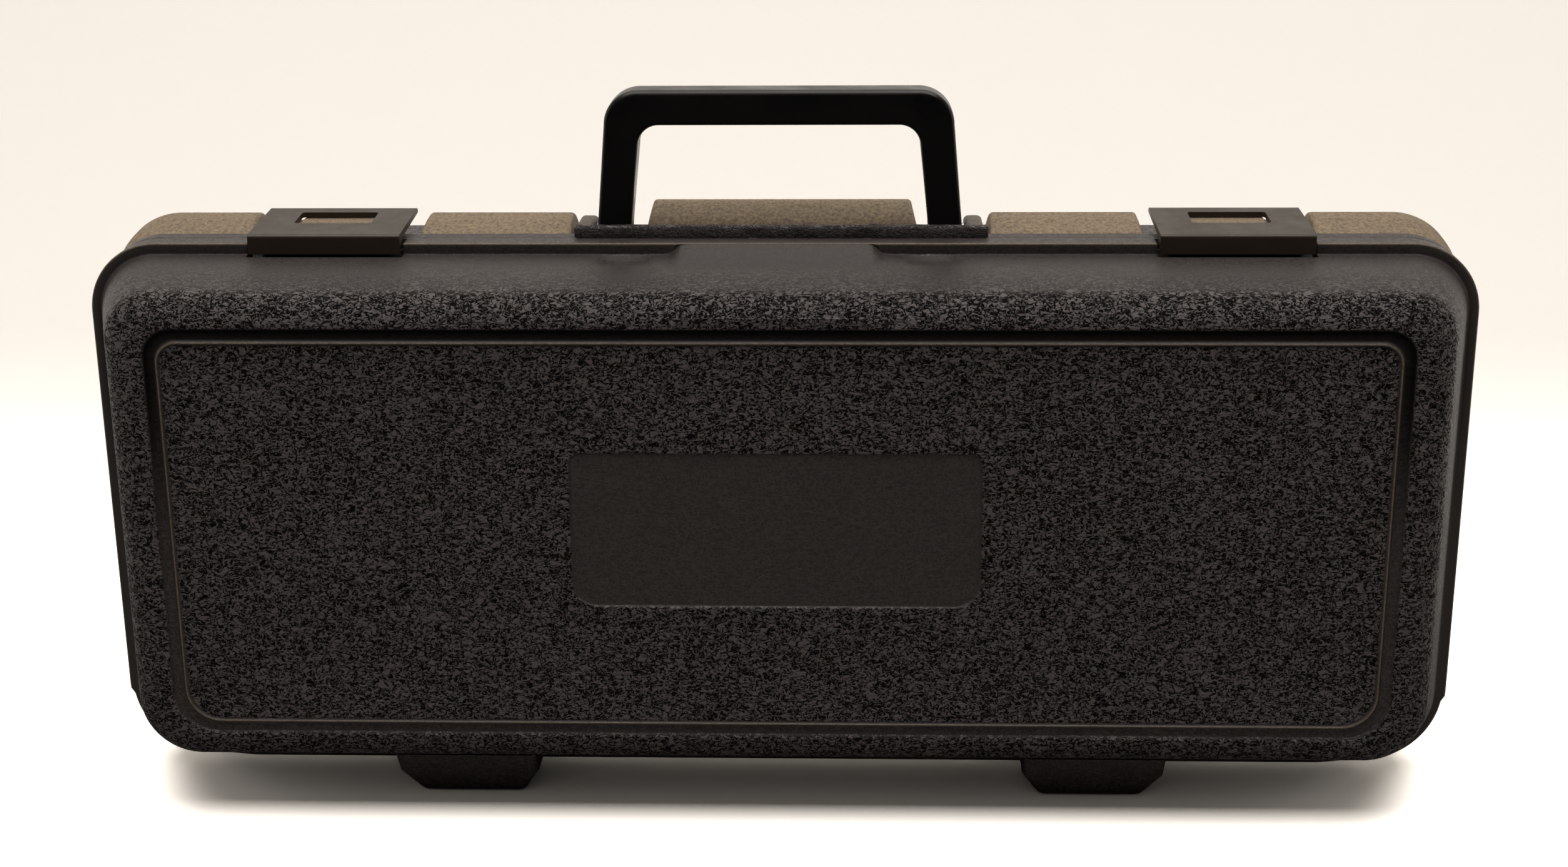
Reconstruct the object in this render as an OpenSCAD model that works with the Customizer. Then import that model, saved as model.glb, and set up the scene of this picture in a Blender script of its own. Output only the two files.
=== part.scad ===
// Hard case for a clarinet, standing upright on the feet along its hinge edge.
// X runs along the case, -Y is the front of the lid, +Z is up, and the origin is
// on the floor under the middle of the case, on the plane where the halves meet.

/* [Case] */
// Length over the parting flange
case_l = 396; // [340:1:460]
// Height of the parting flange, without the feet
case_h = 160; // [150:1:190]
// Depth of each half, from the parting plane to its flat face
half_d = 46; // [44:0.5:60]
// Radius of the parting flange's upper corners
corner_r = 20; // [18:1:26]
// Radius of the parting flange's lower corners
low_corner_r = 24; // [20:1:30]
// Wall thickness of the moulded shells
wall = 3; // [2.5:0.1:3.6]
// Wall thickness of the rim beside the parting plane
rim_wall = 4.6; // [4.2:0.1:6]
// Draft of the side walls, in degrees
side_draft = 18.5; // [6:0.5:20]
// Draft of the bottom walls, in degrees
bottom_draft = 22.5; // [10:0.5:24]
// Draft of the lid's top wall, in degrees
top_draft = 5; // [3:0.5:7]
// Draft of the rear half's top wall, in degrees
rear_top_draft = 2; // [1:0.5:4]
// Radius between the walls and the flat faces
face_r = 9; // [6:0.5:9]

/* [Parting flange] */
// How far the flange stands out beyond the walls
flange_step = 3.2; // [2:0.1:4]
// Thickness of the lid's flange
lid_flange_t = 7.5; // [6.5:0.1:9]
// Thickness of the rear half's flange
base_flange_t = 6; // [5:0.1:8]
// Gap left between the two flanges when the case is shut
parting_gap = 0.4; // [0.2:0.1:0.8]
// Edge break on the flanges
flange_edge = 0.7; // [0.3:0.1:1.2]
// Height of the locating lip that stands inside the lid
lip_h = 2; // [1:0.1:3]
// Thickness of the locating lip
lip_t = 1.5; // [1.2:0.1:1.8]
// Clearance between the lip and the lid's rim
lip_gap = 0.4; // [0.3:0.1:0.6]

/* [Front panel] */
// Distance from the flange's side to the groove round the panel
panel_side = 26; // [25:0.5:36]
// Distance from the flange's bottom to the groove
panel_bottom = 25.7; // [24:0.1:36]
// Distance from the flange's top to the groove
panel_top = 15.1; // [15:0.1:24]
// Corner radius of the groove's outer edge
panel_r = 11; // [8:0.5:16]
// Width of the groove
groove_w = 3.4; // [2.5:0.1:5]
// Depth of the groove
groove_d = 0.8; // [0.4:0.1:1.2]
// Width of the bead inside the groove
bead_w = 0.9; // [0.6:0.1:1.6]
// Height of the bead above the panel
bead_h = 0.5; // [0.3:0.1:0.8]
// Length of the bare label recess
label_l = 113; // [60:1:140]
// Height of the label recess
label_h = 44.6; // [20:0.1:60]
// Distance from the flange's bottom to the label recess
label_z = 65; // [50:0.5:80]
// Depth of the label recess
label_d = 0.5; // [0.3:0.1:0.9]
// Corner radius of the label recess
label_r = 3; // [1:0.5:6]

/* [Feet and hinge] */
// Height of the feet below the flange
foot_h = 3.5; // [3.4:0.1:6]
// Distance of each foot's middle from the end of the case
foot_end = 106.5; // [70:0.5:126]
// Length of a foot where it meets the shell
foot_top_l = 41; // [36:0.5:60]
// Length of a foot on the floor
foot_l = 29.5; // [20:0.5:34]
// Height up to which the feet widen
foot_taper_h = 10; // [6:0.5:14]
// Distance from the parting plane to the feet's inner faces
foot_in = 6.6; // [6.4:0.1:8]
// Distance from the parting plane to the feet's outer bottom edges
foot_out = 21.5; // [19:0.5:26]
// Radius of the hinge knuckles
knuckle_r = 2.9; // [2.6:0.1:3]
// Width of the lid's knuckle
knuckle_l = 9.2; // [7:0.1:11]
// Width over all three knuckles
hinge_l = 28; // [25:0.5:34]
// Radius of the hinge pins
hinge_pin_r = 1.2; // [1:0.05:1.3]
// Height of the hinge axis above the floor
hinge_z = 3.3; // [3.1:0.05:3.3]

/* [Latches] */
// Distance of each latch's middle from the end of the case
latch_end = 69; // [64:0.5:76]
// Length of a latch plate
latch_l = 43.5; // [39:0.5:45]
// How far the latch reaches behind the parting plane
latch_back = 20; // [18:0.5:24]
// Thickness of the latch plate
latch_t = 2.1; // [1.8:0.1:2.3]
// Rise of the latch plate from front to back
latch_rise = 1.7; // [0.8:0.1:2.2]
// Length of the window in the latch
window_l = 22.4; // [18:0.1:24]
// Front edge of the window, behind the parting plane
window_y = 3.4; // [2.8:0.1:4]
// Depth of the window
window_d = 11.4; // [10:0.1:12]
// Gap between the window and the boss inside it
boss_gap = 0.6; // [0.4:0.1:0.9]
// Radius of the latch pins
latch_pin_r = 0.8; // [0.7:0.05:0.9]
// Gap between a latch's outer end and the pad beside it
latch_slot_gap = 1.25; // [1:0.05:2]
// Gap between a latch's inner end and the pad beside it
latch_inner_gap = 2.5; // [1:0.1:4]

/* [Handle] */
// Length over the handle's legs
handle_l = 105; // [100:0.2:108]
// Length over the handle at its grip
handle_top_l = 99.6; // [95:0.2:100]
// Height of the grip's top above the flange
handle_h = 41.5; // [38:0.5:50]
// Height of the grip bar
grip_h = 10; // [9:0.5:12]
// Width of a leg
leg_w = 9.6; // [9:0.1:11]
// Depth of the handle, front to back
handle_d = 11; // [10:0.2:12]
// Outer corner radius
handle_r = 10; // [7:0.5:12]
// Inner corner radius
handle_in_r = 6; // [4:0.5:8]
// Radius of the handle's pivot pins
handle_pin_r = 1.5; // [1.2:0.1:1.6]
// Height of the ledge in front of the handle, above the flange
ledge_h = 3.4; // [2:0.1:3.8]
// Length of the lug outside each leg
lug_l = 5.8; // [5:0.1:7]
// Height of the pad behind the handle, above the flange
rear_pad_h = 5; // [3:0.1:6]
// Depth of the pad behind the handle
rear_pad_d = 15; // [10:0.5:18]

/* [Pads on the rear half] */
// Rise of the pads above the flange at their highest
pad_rise = 3; // [1:0.1:3.4]
// Distance from the parting plane to where the pads are highest
pad_crest = 21; // [16:0.5:24]
// How far the pads' outer sides stand inside the flange's outline
pad_side = 1; // [0.8:0.1:2]

/* [Lining] */
// Thickness of the lid's lining
liner_t = 1.6; // [1.4:0.1:2]
// Gap between a lining and its shell
liner_gap = 0.3; // [0.2:0.05:0.5]
// How far the tray's top lies behind the parting plane
tray_y = 1; // [0.5:0.1:2]
// Radius of the lower joint's well
lower_r = 21; // [18:0.5:21]
// Length of the lower joint's well
lower_l = 268; // [250:1:270]
// Radius of the upper joint's well
upper_r = 18.5; // [16:0.5:19]
// Length of the upper joint's well
upper_l = 242; // [225:1:244]
// Radius of the barrel's well
barrel_r = 18.5; // [16:0.5:20]
// Length of the barrel's well
barrel_l = 74; // [64:1:76]
// Radius of the mouthpiece's well
mouth_r = 16.5; // [14:0.5:17]
// Length of the mouthpiece's well
mouth_l = 98; // [90:1:100]
// Largest radius of the bell's well
bell_r = 40.5; // [36:0.5:40.5]
// Length of the bell's well
bell_l = 108; // [100:1:112]
// Thickness of the pad in the lid
lid_pad_t = 9; // [6:0.5:12]

/* [Hidden] */

// Facets of true round surfaces, which stay exact
$fn = 48;
// Steps round each corner of the moulded walls
corner_n = 8;
// Small overlap so that joined solids share volume
bite = 0.5;
// Radial clearances of a pin held tight and of a piece that turns on it
pin_hold = 0.02;
pin_run = 0.06;

flange_z = foot_h;
top_z = foot_h + case_h;
foot_x = case_l / 2 - foot_end;
latch_x = case_l / 2 - latch_end;
// How far a cut runs on past what it cuts
cut_over = 10;
rear_top_root = flange_step + 0.3;
flange_mid_z = flange_z + case_h / 2;

// Insets are measured inwards from the flange's outline
rim_in = flange_step + rim_wall;
lip_in = rim_in - lip_t;
rebate_in = lip_in - lip_gap;
inner_d = half_d - wall;
inner_r = face_r - wall;

// Share of a wall's inset by which its corner radius shrinks
corner_draw = 0.35;

// Angles round the fillet at which a section is taken
fillet_steps = [4, side_draft, 36, 54, 72, 90];

// Hinge, one under each end of the case between the feet
knuckle_gap = 0.4;
knuckle_room = knuckle_r + 0.4;

// Latch, placed from its pin axis
latch_pin_y = -6;
latch_pin_z = top_z - 1.6;
latch_skirt_y = latch_pin_y - 3.2;
latch_skirt_t = 1.2;
latch_skirt_z = latch_pin_z - 1.2;
latch_top_z = latch_pin_z + 4.5;
latch_edge = 1;
latch_lip_t = latch_t - 0.7;
latch_under_z = latch_top_z - latch_t;
latch_barrel_r = 1.7;
latch_sweep_r = 4.2;
latch_mid_l = 14;
latch_barrel_l = 7;
latch_barrel_gap = 0.3;
// The bosses run back under the latch plates' rear bars
boss_back = 18.5;
boss_top_z = latch_under_z + latch_rise - 0.25;

// Height of the rear half's top wall beside its flange
slot_floor_z = top_z - rear_top_root;

// Handle, placed from its pivot
handle_front_y = 3.2;
handle_pivot_back = 3.2;
handle_pivot_y = handle_front_y + handle_d - handle_pivot_back;
handle_pivot_z = slot_floor_z + handle_pivot_back + 0.7;
handle_gap = 0.4;
handle_edge = 1.6;
handle_pin_in = 0.8;
lug_x = handle_l / 2 + handle_gap;
lug_end_x = lug_x + lug_l;
lug_back = handle_pivot_back + 2.8;
rear_pad_l = handle_top_l - 2 * leg_w + 2 * handle_gap;
rear_pad_y = handle_pivot_y + 7;
rear_pad_r = 2.5;
rear_pad_lean = 1.6;
ledge_r = 1;

// Raised pads on the rear half's top, one inside and one outside each latch
pad_lean = 12;
pad_in_x = lug_end_x + 0.5;
pad_out_x = latch_x - latch_l / 2 - latch_inner_gap;
pad_corner_x = latch_x + latch_l / 2 + latch_slot_gap;
// Where a pad ends on the side wall, measured down from the corner's middle
pad_drop = 2;
// Rise of the pads at each distance behind the rear half's flange
pad_path = [[-bite, -flange_edge - 0.1], [0.6, -0.2], [3, 0.6],
    [0.6 * (pad_crest - base_flange_t), 0.8 * pad_rise], [pad_crest - base_flange_t, pad_rise],
    [pad_crest - base_flange_t + 3, 0.75 * pad_rise], [pad_crest - base_flange_t + 5, -1],
    [pad_crest - base_flange_t + 6, -flange_step - 2]];

// Wells in the tray, with flat sides under their plush
well_sides = 8;
well_wall = 6;
well_gap = 10;
well_end_x = -(case_l / 2 - rim_in - liner_gap - well_gap);
tray_top_z = top_z - rim_in - liner_gap;
tray_bottom_z = flange_z + rim_in + liner_gap;
lower_z = tray_top_z - well_wall - lower_r;
upper_z = tray_bottom_z + 4 + upper_r;
mouth_z = (lower_z - lower_r + upper_z + upper_r) / 2;
bell_z = tray_bottom_z + 5 + bell_r;
bell_x = well_end_x + upper_l + well_gap;
bell_neck_r = upper_r;
bell_power = 2.2;
flare_at = [0, 0.45, 0.75, 1];
barrel_x = well_end_x + lower_l + well_gap;
box_x = well_end_x + mouth_l + well_gap;
box_l = bell_x - well_gap - 4 - box_x;
box_h = lower_z - lower_r - upper_z - upper_r - 2 * well_wall - 4;
box_d = 28;
box_r = 6;
scoop_r = 14;
scoop_reach = 9;
// The tray's three blocks meet between the mouthpiece and the box, and before the bell
tray_split = 0.2;
tray_left_x = box_x - well_gap / 2;
tray_right_x = bell_x - well_gap / 2;

// Flat part of the lid's lining, where the pad is glued
liner_d = inner_d - liner_t;
function liner_in(a) = draft_inset(liner_d, wall + liner_gap + liner_t, lid_flange_t, a,
    liner_d, inner_r - liner_t);
pad_margin = 1.5;
pad_corner_r = 12;
pad_low_z = flange_z + liner_in(bottom_draft) + pad_margin;
pad_high_z = lower_z + 0.6 * lower_r;
pad_end_x = -(case_l / 2 - liner_in(side_draft) - pad_margin);

// Inset at depth d of a wall with draft a that starts at depth t with an inset of
// root, and turns through a fillet of radius r into a flat face at depth face
function wall_inset(d, root, t, a, face, r) =
    let (centre = root + (face - t - r) * tan(a) + r / cos(a))
    d <= face - r + r * sin(a)
        ? root + (d - t) * tan(a)
        : centre - sqrt(max(0, r * r - pow(d - face + r, 2)));

// The same for the inside of a wall of thickness w that starts at the flange's step
function draft_inset(d, w, t, a, face, r) = wall_inset(d, flange_step + w / cos(a), t, a, face, r);

// Corner radii of the outer and inner walls at a given inset
function out_r(inset) = corner_r - flange_step - corner_draw * (inset - flange_step);
function in_r(inset) = corner_r - min(inset, rim_in) - corner_draw * max(0, inset - rim_in);

// One rounded rectangle in a plane at depth d, as points on the -Y side. Its upper
// corners have radius r, and its lower ones are larger.
function ring(d, side, bottom, top, r) =
    let (low_r = r + low_corner_r - corner_r, high = top_z - top - r,
        low = flange_z + bottom + low_r)
    [for (q = [0:3], k = [0:corner_n])
        let (a = 90 * (q + k / corner_n), c = q < 2 ? r : low_r, x = case_l / 2 - side - c)
        [(q == 0 || q == 3 ? x : -x) + c * cos(a), -d, (q < 2 ? high : low) + c * sin(a)]];

function even_ring(d, inset) = ring(d, inset, inset, inset, corner_r - inset);

function reversed(list) = [for (k = [len(list) - 1:-1:0]) list[k]];

// Skin over a list of rings, closed by a flat cap at each end
module loft(rings) {
    n = len(rings[0]);
    last = n * (len(rings) - 1);
    polyhedron(
        points = [for (one = rings, p = one) p],
        faces = concat(
            [[for (k = [0:n - 1]) k]],
            [for (i = [0:len(rings) - 2], k = [0:n - 1])
                let (a = i * n + k, b = i * n + (k + 1) % n)
                for (face = [[a, a + n, b + n], [a, b + n, b]]) face],
            [[for (k = [n - 1:-1:0]) last + k]]));
}

// Outside of a half, from its flange to the end of its fillet. The top has its own
// inset and draft.
function outer_ring(d, t, top_root, top_a) =
    let (side = wall_inset(d, flange_step, t, side_draft, half_d, face_r),
        bottom = wall_inset(d, flange_step, t, bottom_draft, half_d, face_r))
    ring(d, side, bottom, wall_inset(d, top_root, t, top_a, half_d, face_r), out_r(side));

function outer_rings(t, top_root, top_a) =
    [for (a = fillet_steps) outer_ring(half_d - face_r + face_r * sin(a), t, top_root, top_a)];

// Inside of a half, moved inwards by gap and moved off its flat face by off
function inner_ring(d, t, top_root, top_a, gap, off) =
    let (face = inner_d - off, r = inner_r - min(off, inner_r - 1),
        side = max(rim_in + gap, draft_inset(d, wall + gap, t, side_draft, face, r)),
        bottom = max(rim_in + gap, draft_inset(d, wall + gap, t, bottom_draft, face, r)),
        top = max(rim_in + gap, wall_inset(d, top_root + wall + gap, t, top_a, face, r)))
    ring(d, side, bottom, top, in_r(side));

function inner_rings(t, top_root, top_a, gap, off, rim) =
    let (face = inner_d - off, r = inner_r - min(off, inner_r - 1))
    concat(
        [for (k = [len(fillet_steps) - 1:-1:0])
            inner_ring(face - r + r * sin(fillet_steps[k]), t, top_root, top_a, gap, off)],
        [for (d = [0.58 * half_d, 0.27 * half_d, rim])
            inner_ring(d, t, top_root, top_a, gap, off)]);

// Outline of a flange of thickness t, with its edges broken
function flange_rings(t) =
    let (face = parting_gap / 2, e = flange_edge)
    [even_ring(face, e), even_ring(face + e, 0), even_ring(t - e, 0), even_ring(t, e),
        ring(t, flange_step, flange_step, flange_step, out_r(flange_step))];

function panel_ring(d, k) =
    ring(d, panel_side + k, panel_bottom + k, panel_top + k, panel_r - 0.6 * k);

// Groove, bead and sunk panel on the lid's face, from the outside inwards
function panel_rings() =
    let (floor_d = half_d - groove_d, bead_top_d = panel_face_d + bead_h, g = groove_w)
    [panel_ring(half_d, 0), panel_ring(floor_d, groove_d / 2), panel_ring(floor_d, g - 0.3),
        panel_ring(bead_top_d, g), panel_ring(bead_top_d, g + bead_w - 0.3),
        panel_ring(panel_face_d, g + bead_w)];

// Depth of the sunk panel, below which the bead stands out a little
panel_face_d = half_d - bead_h + 0.2;

// Flat shape in the YZ plane, drawn out along X about x
module along_x(x, l) {
    translate([x - l / 2, 0, 0])
        rotate([90, 0, 90])
            linear_extrude(height = l)
                children();
}

// Flat shape in the XZ plane, drawn out along Y between two places
module along_y(y0, y1) {
    translate([0, y1, 0])
        rotate([90, 0, 0])
            linear_extrude(height = y1 - y0)
                children();
}

// Outline of a block between two heights, with leaning ends and round top corners
function soft_outline(middle, l, low, high, lean, r) =
    let (x = l / 2 - lean - r)
    concat([[middle + l / 2, low]],
        [for (a = [0:18:90]) [middle + x + r * cos(a), high - r + r * sin(a)]],
        [for (a = [90:18:180]) [middle - x + r * cos(a), high - r + r * sin(a)]],
        [[middle - l / 2, low]]);

// Round bar along X about x
module rod(x, l, r, y, z) {
    translate([x - l / 2, y, z])
        rotate([0, 90, 0])
            cylinder(h = l, r = r);
}

// Rectangle with round corners, centred
module round_rect(l, w, r) {
    square([l - 2 * r, w], center = true);
    square([l, w - 2 * r], center = true);
    for (sx = [-1, 1], sy = [-1, 1])
        translate([sx * (l / 2 - r), sy * (w / 2 - r)])
            circle(r = r);
}

// Height of the sloping bottom wall's outside at depth d
function bottom_z(d, t) = flange_z + flange_step + (d - t) * tan(bottom_draft);

// One foot of a half whose flange is t thick, on the -Y side. Its front runs up into
// the shell's bottom wall.
module foot(x, t) {
    slope_d = half_d - face_r;
    intersection() {
        translate([x, 0, 0])
            along_y(-half_d, 0)
                polygon([[-foot_l / 2, 0], [foot_l / 2, 0],
                    [foot_top_l / 2, foot_taper_h], [foot_top_l / 2, bottom_z(slope_d, t) + wall],
                    [-foot_top_l / 2, bottom_z(slope_d, t) + wall], [-foot_top_l / 2, foot_taper_h]]);
        along_x(x, foot_top_l + 2)
            polygon([[-foot_in, 0], [-foot_out, 0], [-foot_out - 2.5, 0.9],
                [-foot_out - 4, 2.4], [-slope_d, bottom_z(slope_d, t)],
                [-slope_d, bottom_z(slope_d, t) + wall / 2],
                [-foot_in, bottom_z(foot_in, t) + wall / 2]]);
    }
}

module feet(t) {
    for (s = [-1, 1])
        foot(s * foot_x, t);
}

// The three knuckles of a hinge: the middle one is the lid's, the outer two the base's
module outer_knuckles(r, extra) {
    l = (hinge_l - knuckle_l) / 2 - knuckle_gap;
    for (s = [-1, 1], side = [-1, 1])
        rod(s * foot_x + side * (hinge_l - l) / 2, l + extra, r, 0, hinge_z);
}

module middle_knuckles(r, extra) {
    for (s = [-1, 1])
        rod(s * foot_x, knuckle_l + extra, r, 0, hinge_z);
}

// What carries a latch's pin on the lid's flange
module latch_barrel(x) {
    for (side = [-1, 1]) {
        bx = x + side * (latch_mid_l / 2 + latch_barrel_gap + latch_barrel_l / 2);
        rod(bx, latch_barrel_l, latch_barrel_r, latch_pin_y, latch_pin_z);
        along_x(bx, latch_barrel_l)
            translate([latch_pin_y, latch_pin_z - latch_barrel_r + 0.2])
                square([latch_sweep_r + bite, top_z - latch_pin_z + latch_barrel_r - 0.2]);
    }
}

// Shallow wedge that fills the step at the middle of the lid's flange
module top_fill() {
    fill_l = 57;
    fill_d = 3 * lid_flange_t;
    wall_z = top_z - flange_step - (fill_d - lid_flange_t) * tan(top_draft);
    along_x(0, fill_l)
        polygon([[-lid_flange_t + bite, top_z - 0.1], [-lid_flange_t, top_z - 0.1],
            [-fill_d, wall_z - 0.2], [-fill_d, wall_z - wall / 2],
            [-lid_flange_t + bite, top_z - flange_step - wall / 2]]);
}

module top_dimples() {
    dimple_x = 43.5;
    dimple_l = 12;
    dimple_w = 6;
    dimple_d = 1;
    for (s = [-1, 1])
        translate([s * dimple_x, -lid_flange_t - 0.2 - dimple_w / 2, top_z - flange_step - dimple_d])
            linear_extrude(height = dimple_d + 1)
                round_rect(dimple_l, dimple_w, 2);
}

module label_recess() {
    translate([0, 0, flange_z + label_z + label_h / 2])
        along_y(-half_d - 1, -panel_face_d + label_d)
            round_rect(label_l, label_h, label_r);
}

module lid_body() {
    difference() {
        loft(concat(
            inner_rings(lid_flange_t, flange_step, top_draft, 0, 0, lip_h + lip_gap),
            [even_ring(lip_h + lip_gap, rebate_in), even_ring(parting_gap / 2, rebate_in)],
            flange_rings(lid_flange_t),
            outer_rings(lid_flange_t, flange_step, top_draft),
            panel_rings()));
        for (s = [-1, 1])
            rod(s * latch_x, latch_l + 1, latch_sweep_r, latch_pin_y, latch_pin_z);
        outer_knuckles(knuckle_room, 2 * knuckle_gap);
        label_recess();
        top_dimples();
    }
}

module lid_shell() {
    color([0.13, 0.12, 0.12])
        difference() {
            union() {
                lid_body();
                feet(lid_flange_t);
                middle_knuckles(knuckle_r, 0);
                top_fill();
                for (s = [-1, 1])
                    latch_barrel(s * latch_x);
            }
            middle_knuckles(hinge_pin_r + pin_run, 1);
            for (s = [-1, 1])
                rod(s * latch_x, latch_l, latch_pin_r + pin_hold, latch_pin_y, latch_pin_z);
        }
}

// What the rear half's pads share: one band round the case, rising to a crest
module pad_band() {
    mirror([0, 1, 0])
        loft([for (p = pad_path)
            ring(base_flange_t + p[0], pad_side, pad_side, -p[1], corner_r - pad_side)]);
}

// Raised pads on the rear half's top: two beside the handle, and one round each corner
module rear_pads() {
    low = slot_floor_z - 2;
    high = top_z + cut_over;
    lean = (high - low) * tan(pad_lean);
    corner_z = top_z - corner_r - pad_drop;
    difference() {
        intersection() {
            pad_band();
            along_y(0, half_d)
                for (s = [-1, 1]) {
                    polygon([[s * pad_in_x, low], [s * pad_out_x, low],
                        [s * (pad_out_x - lean), high], [s * (pad_in_x + lean), high]]);
                    polygon([[s * pad_corner_x, low], [s * (case_l / 2 - corner_r), corner_z],
                        [s * case_l / 2, corner_z + corner_r / 2], [s * case_l / 2, high],
                        [s * (pad_corner_x + lean), high]]);
                }
        }
        mirror([0, 1, 0])
            loft(reversed(inner_rings(base_flange_t, rear_top_root, rear_top_draft, -1, 0, bite)));
    }
}

// Room behind the ledge for the handle, cut into the flange
module handle_room() {
    along_y(handle_front_y - handle_gap, half_d)
        translate([-lug_x, slot_floor_z])
            square([2 * lug_x, cut_over]);
}

// Boss that shows in a latch's window
module latch_boss(x) {
    front = window_y + boss_gap;
    translate([x, (front + boss_back) / 2, slot_floor_z - bite])
        linear_extrude(height = boss_top_z - slot_floor_z + bite)
            round_rect(window_l - 2 * boss_gap, boss_back - front, 1);
}

// Low ledge in front of the handle, which ends in the lugs for its pivots
module ledge() {
    front = parting_gap / 2 + 0.1;
    depth = handle_front_y - handle_gap - front;
    along_x(0, 2 * lug_end_x)
        polygon(soft_outline(front + depth / 2, depth, slot_floor_z - bite, top_z + ledge_h, 0, ledge_r));
    for (s = [-1, 1])
        along_x(s * (lug_x + lug_l / 2), lug_l) {
            translate([front, slot_floor_z - bite])
                square([handle_pivot_y + lug_back - front, top_z - slot_floor_z + bite]);
            translate([front, top_z - 1])
                square([handle_pivot_y + lug_back - ledge_h - front, ledge_h + 1]);
            translate([handle_pivot_y + lug_back - ledge_h, top_z])
                circle(r = ledge_h);
        }
}

module rear_pad() {
    along_y(rear_pad_y, rear_pad_y + rear_pad_d)
        polygon(soft_outline(0, rear_pad_l, slot_floor_z - wall / 2, top_z + rear_pad_h,
            rear_pad_lean, rear_pad_r));
}

module base_body() {
    difference() {
        mirror([0, 1, 0])
            loft(concat(
                inner_rings(base_flange_t, rear_top_root, rear_top_draft, 0, 0, base_flange_t),
                [even_ring(-lip_h, rim_in), even_ring(-lip_h, lip_in),
                    even_ring(parting_gap / 2, lip_in)],
                flange_rings(base_flange_t),
                outer_rings(base_flange_t, rear_top_root, rear_top_draft)));
        handle_room();
        middle_knuckles(knuckle_room, 2 * knuckle_gap);
    }
}

module base_shell() {
    color([0.13, 0.12, 0.12])
        difference() {
            union() {
                base_body();
                mirror([0, 1, 0])
                    feet(base_flange_t);
                outer_knuckles(knuckle_r, 0);
                ledge();
                rear_pad();
                rear_pads();
                for (s = [-1, 1])
                    latch_boss(s * latch_x);
            }
            outer_knuckles(hinge_pin_r + pin_hold, 0.2);
            for (s = [-1, 1])
                rod(s * (lug_x + lug_l / 2), lug_l + 1, handle_pin_r + pin_hold,
                    handle_pivot_y, handle_pivot_z);
        }
}

module hinge_pin(s) {
    color([0.75, 0.75, 0.77])
        rod(s * foot_x, hinge_l, hinge_pin_r, 0, hinge_z);
}

module latch_pin(s) {
    color([0.75, 0.75, 0.77])
        rod(s * latch_x, latch_l - 0.6, latch_pin_r, latch_pin_y, latch_pin_z);
}

// Pivot of the handle, from inside the leg to the outer face of the lug
module handle_pin(s) {
    inner_x = handle_l / 2 - leg_w + handle_pin_in;
    color([0.75, 0.75, 0.77])
        rod(s * (inner_x + lug_end_x) / 2, lug_end_x - inner_x, handle_pin_r,
            handle_pivot_y, handle_pivot_z);
}

// Outer and inner edge of the handle at step i of its path, drawn in by e
handle_n = 6;
handle_last = 2 * handle_n + 3;
handle_low_z = handle_pivot_z - handle_pivot_back;
handle_high_z = top_z + handle_h;

function handle_out(i, e) =
    let (right = i < handle_last / 2, a = 90 * (right ? i - 1 : i - 2) / handle_n,
        x = handle_top_l / 2 - handle_r, r = handle_r - e)
    i == 0 || i == handle_last
        ? [(right ? 1 : -1) * (handle_l / 2 - e), handle_low_z]
        : [(right ? x : -x) + r * cos(a), handle_high_z - handle_r + r * sin(a)];

function handle_in(i, e) =
    let (right = i < handle_last / 2, a = 90 * (right ? i - 1 : i - 2) / handle_n,
        x = handle_top_l / 2 - leg_w - handle_in_r, r = handle_in_r + e)
    i == 0 || i == handle_last
        ? [(right ? 1 : -1) * (handle_l / 2 - leg_w + e), handle_low_z]
        : [(right ? x : -x) + r * cos(a), handle_high_z - grip_h - handle_in_r + r * sin(a)];

// Depth and inset of each step across the handle's rounded edges, front to back
function handle_edges() =
    let (e = handle_edge, front = handle_front_y, back = handle_front_y + handle_d)
    concat(
        [for (a = [90, 60, 30, 0]) [front + e - e * sin(a), e - e * cos(a)]],
        [for (a = [0, 30, 60, 90]) [back - e + e * sin(a), e - e * cos(a)]]);

// Section of the handle at step i of its path
function handle_section(i) =
    let (edges = handle_edges(), last = len(edges) - 1)
    concat(
        [for (k = [0:last]) let (p = handle_out(i, edges[k][1])) [p[0], edges[k][0], p[1]]],
        [for (k = [last:-1:0]) let (p = handle_in(i, edges[k][1])) [p[0], edges[k][0], p[1]]]);

module handle() {
    color([0.06, 0.06, 0.06])
        difference() {
            intersection() {
                loft([for (i = [0:handle_last]) handle_section(i)]);
                along_x(0, handle_l + 2)
                    translate([handle_pivot_y, handle_pivot_z])
                        handle_profile();
            }
            for (s = [-1, 1])
                rod(s * (handle_l / 2 - leg_w / 2 + handle_pin_in / 2), leg_w - handle_pin_in + 0.1,
                    handle_pin_r + pin_run, handle_pivot_y, handle_pivot_z);
        }
}

// Side view of a leg about its pivot, cut back at the front so that it can fold
module handle_profile() {
    front = handle_d - handle_pivot_back;
    circle(r = handle_pivot_back);
    polygon([[handle_pivot_back, 0], [handle_pivot_back + 1, 3], [handle_pivot_back + 1, 2 * handle_h],
        [-front - 1, 2 * handle_h], [-front - 1, 3], [-front, 1], [-2.2, -2.3]]);
}

// Side view of a latch: the sloping plate and the skirt in front of its pin
module latch_side() {
    top_back = latch_top_z + latch_rise;
    polygon(concat(
        [[latch_skirt_y, latch_skirt_z]],
        [for (a = [180:-30:90])
            [latch_skirt_y + latch_edge + latch_edge * cos(a),
                latch_top_z - latch_edge + latch_edge * sin(a)]],
        [[latch_back - 0.6, top_back], [latch_back, top_back - 0.6],
            [latch_back, top_back - latch_lip_t],
            [latch_skirt_y + latch_skirt_t, latch_under_z],
            [latch_skirt_y + latch_skirt_t, latch_skirt_z]]));
}

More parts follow.
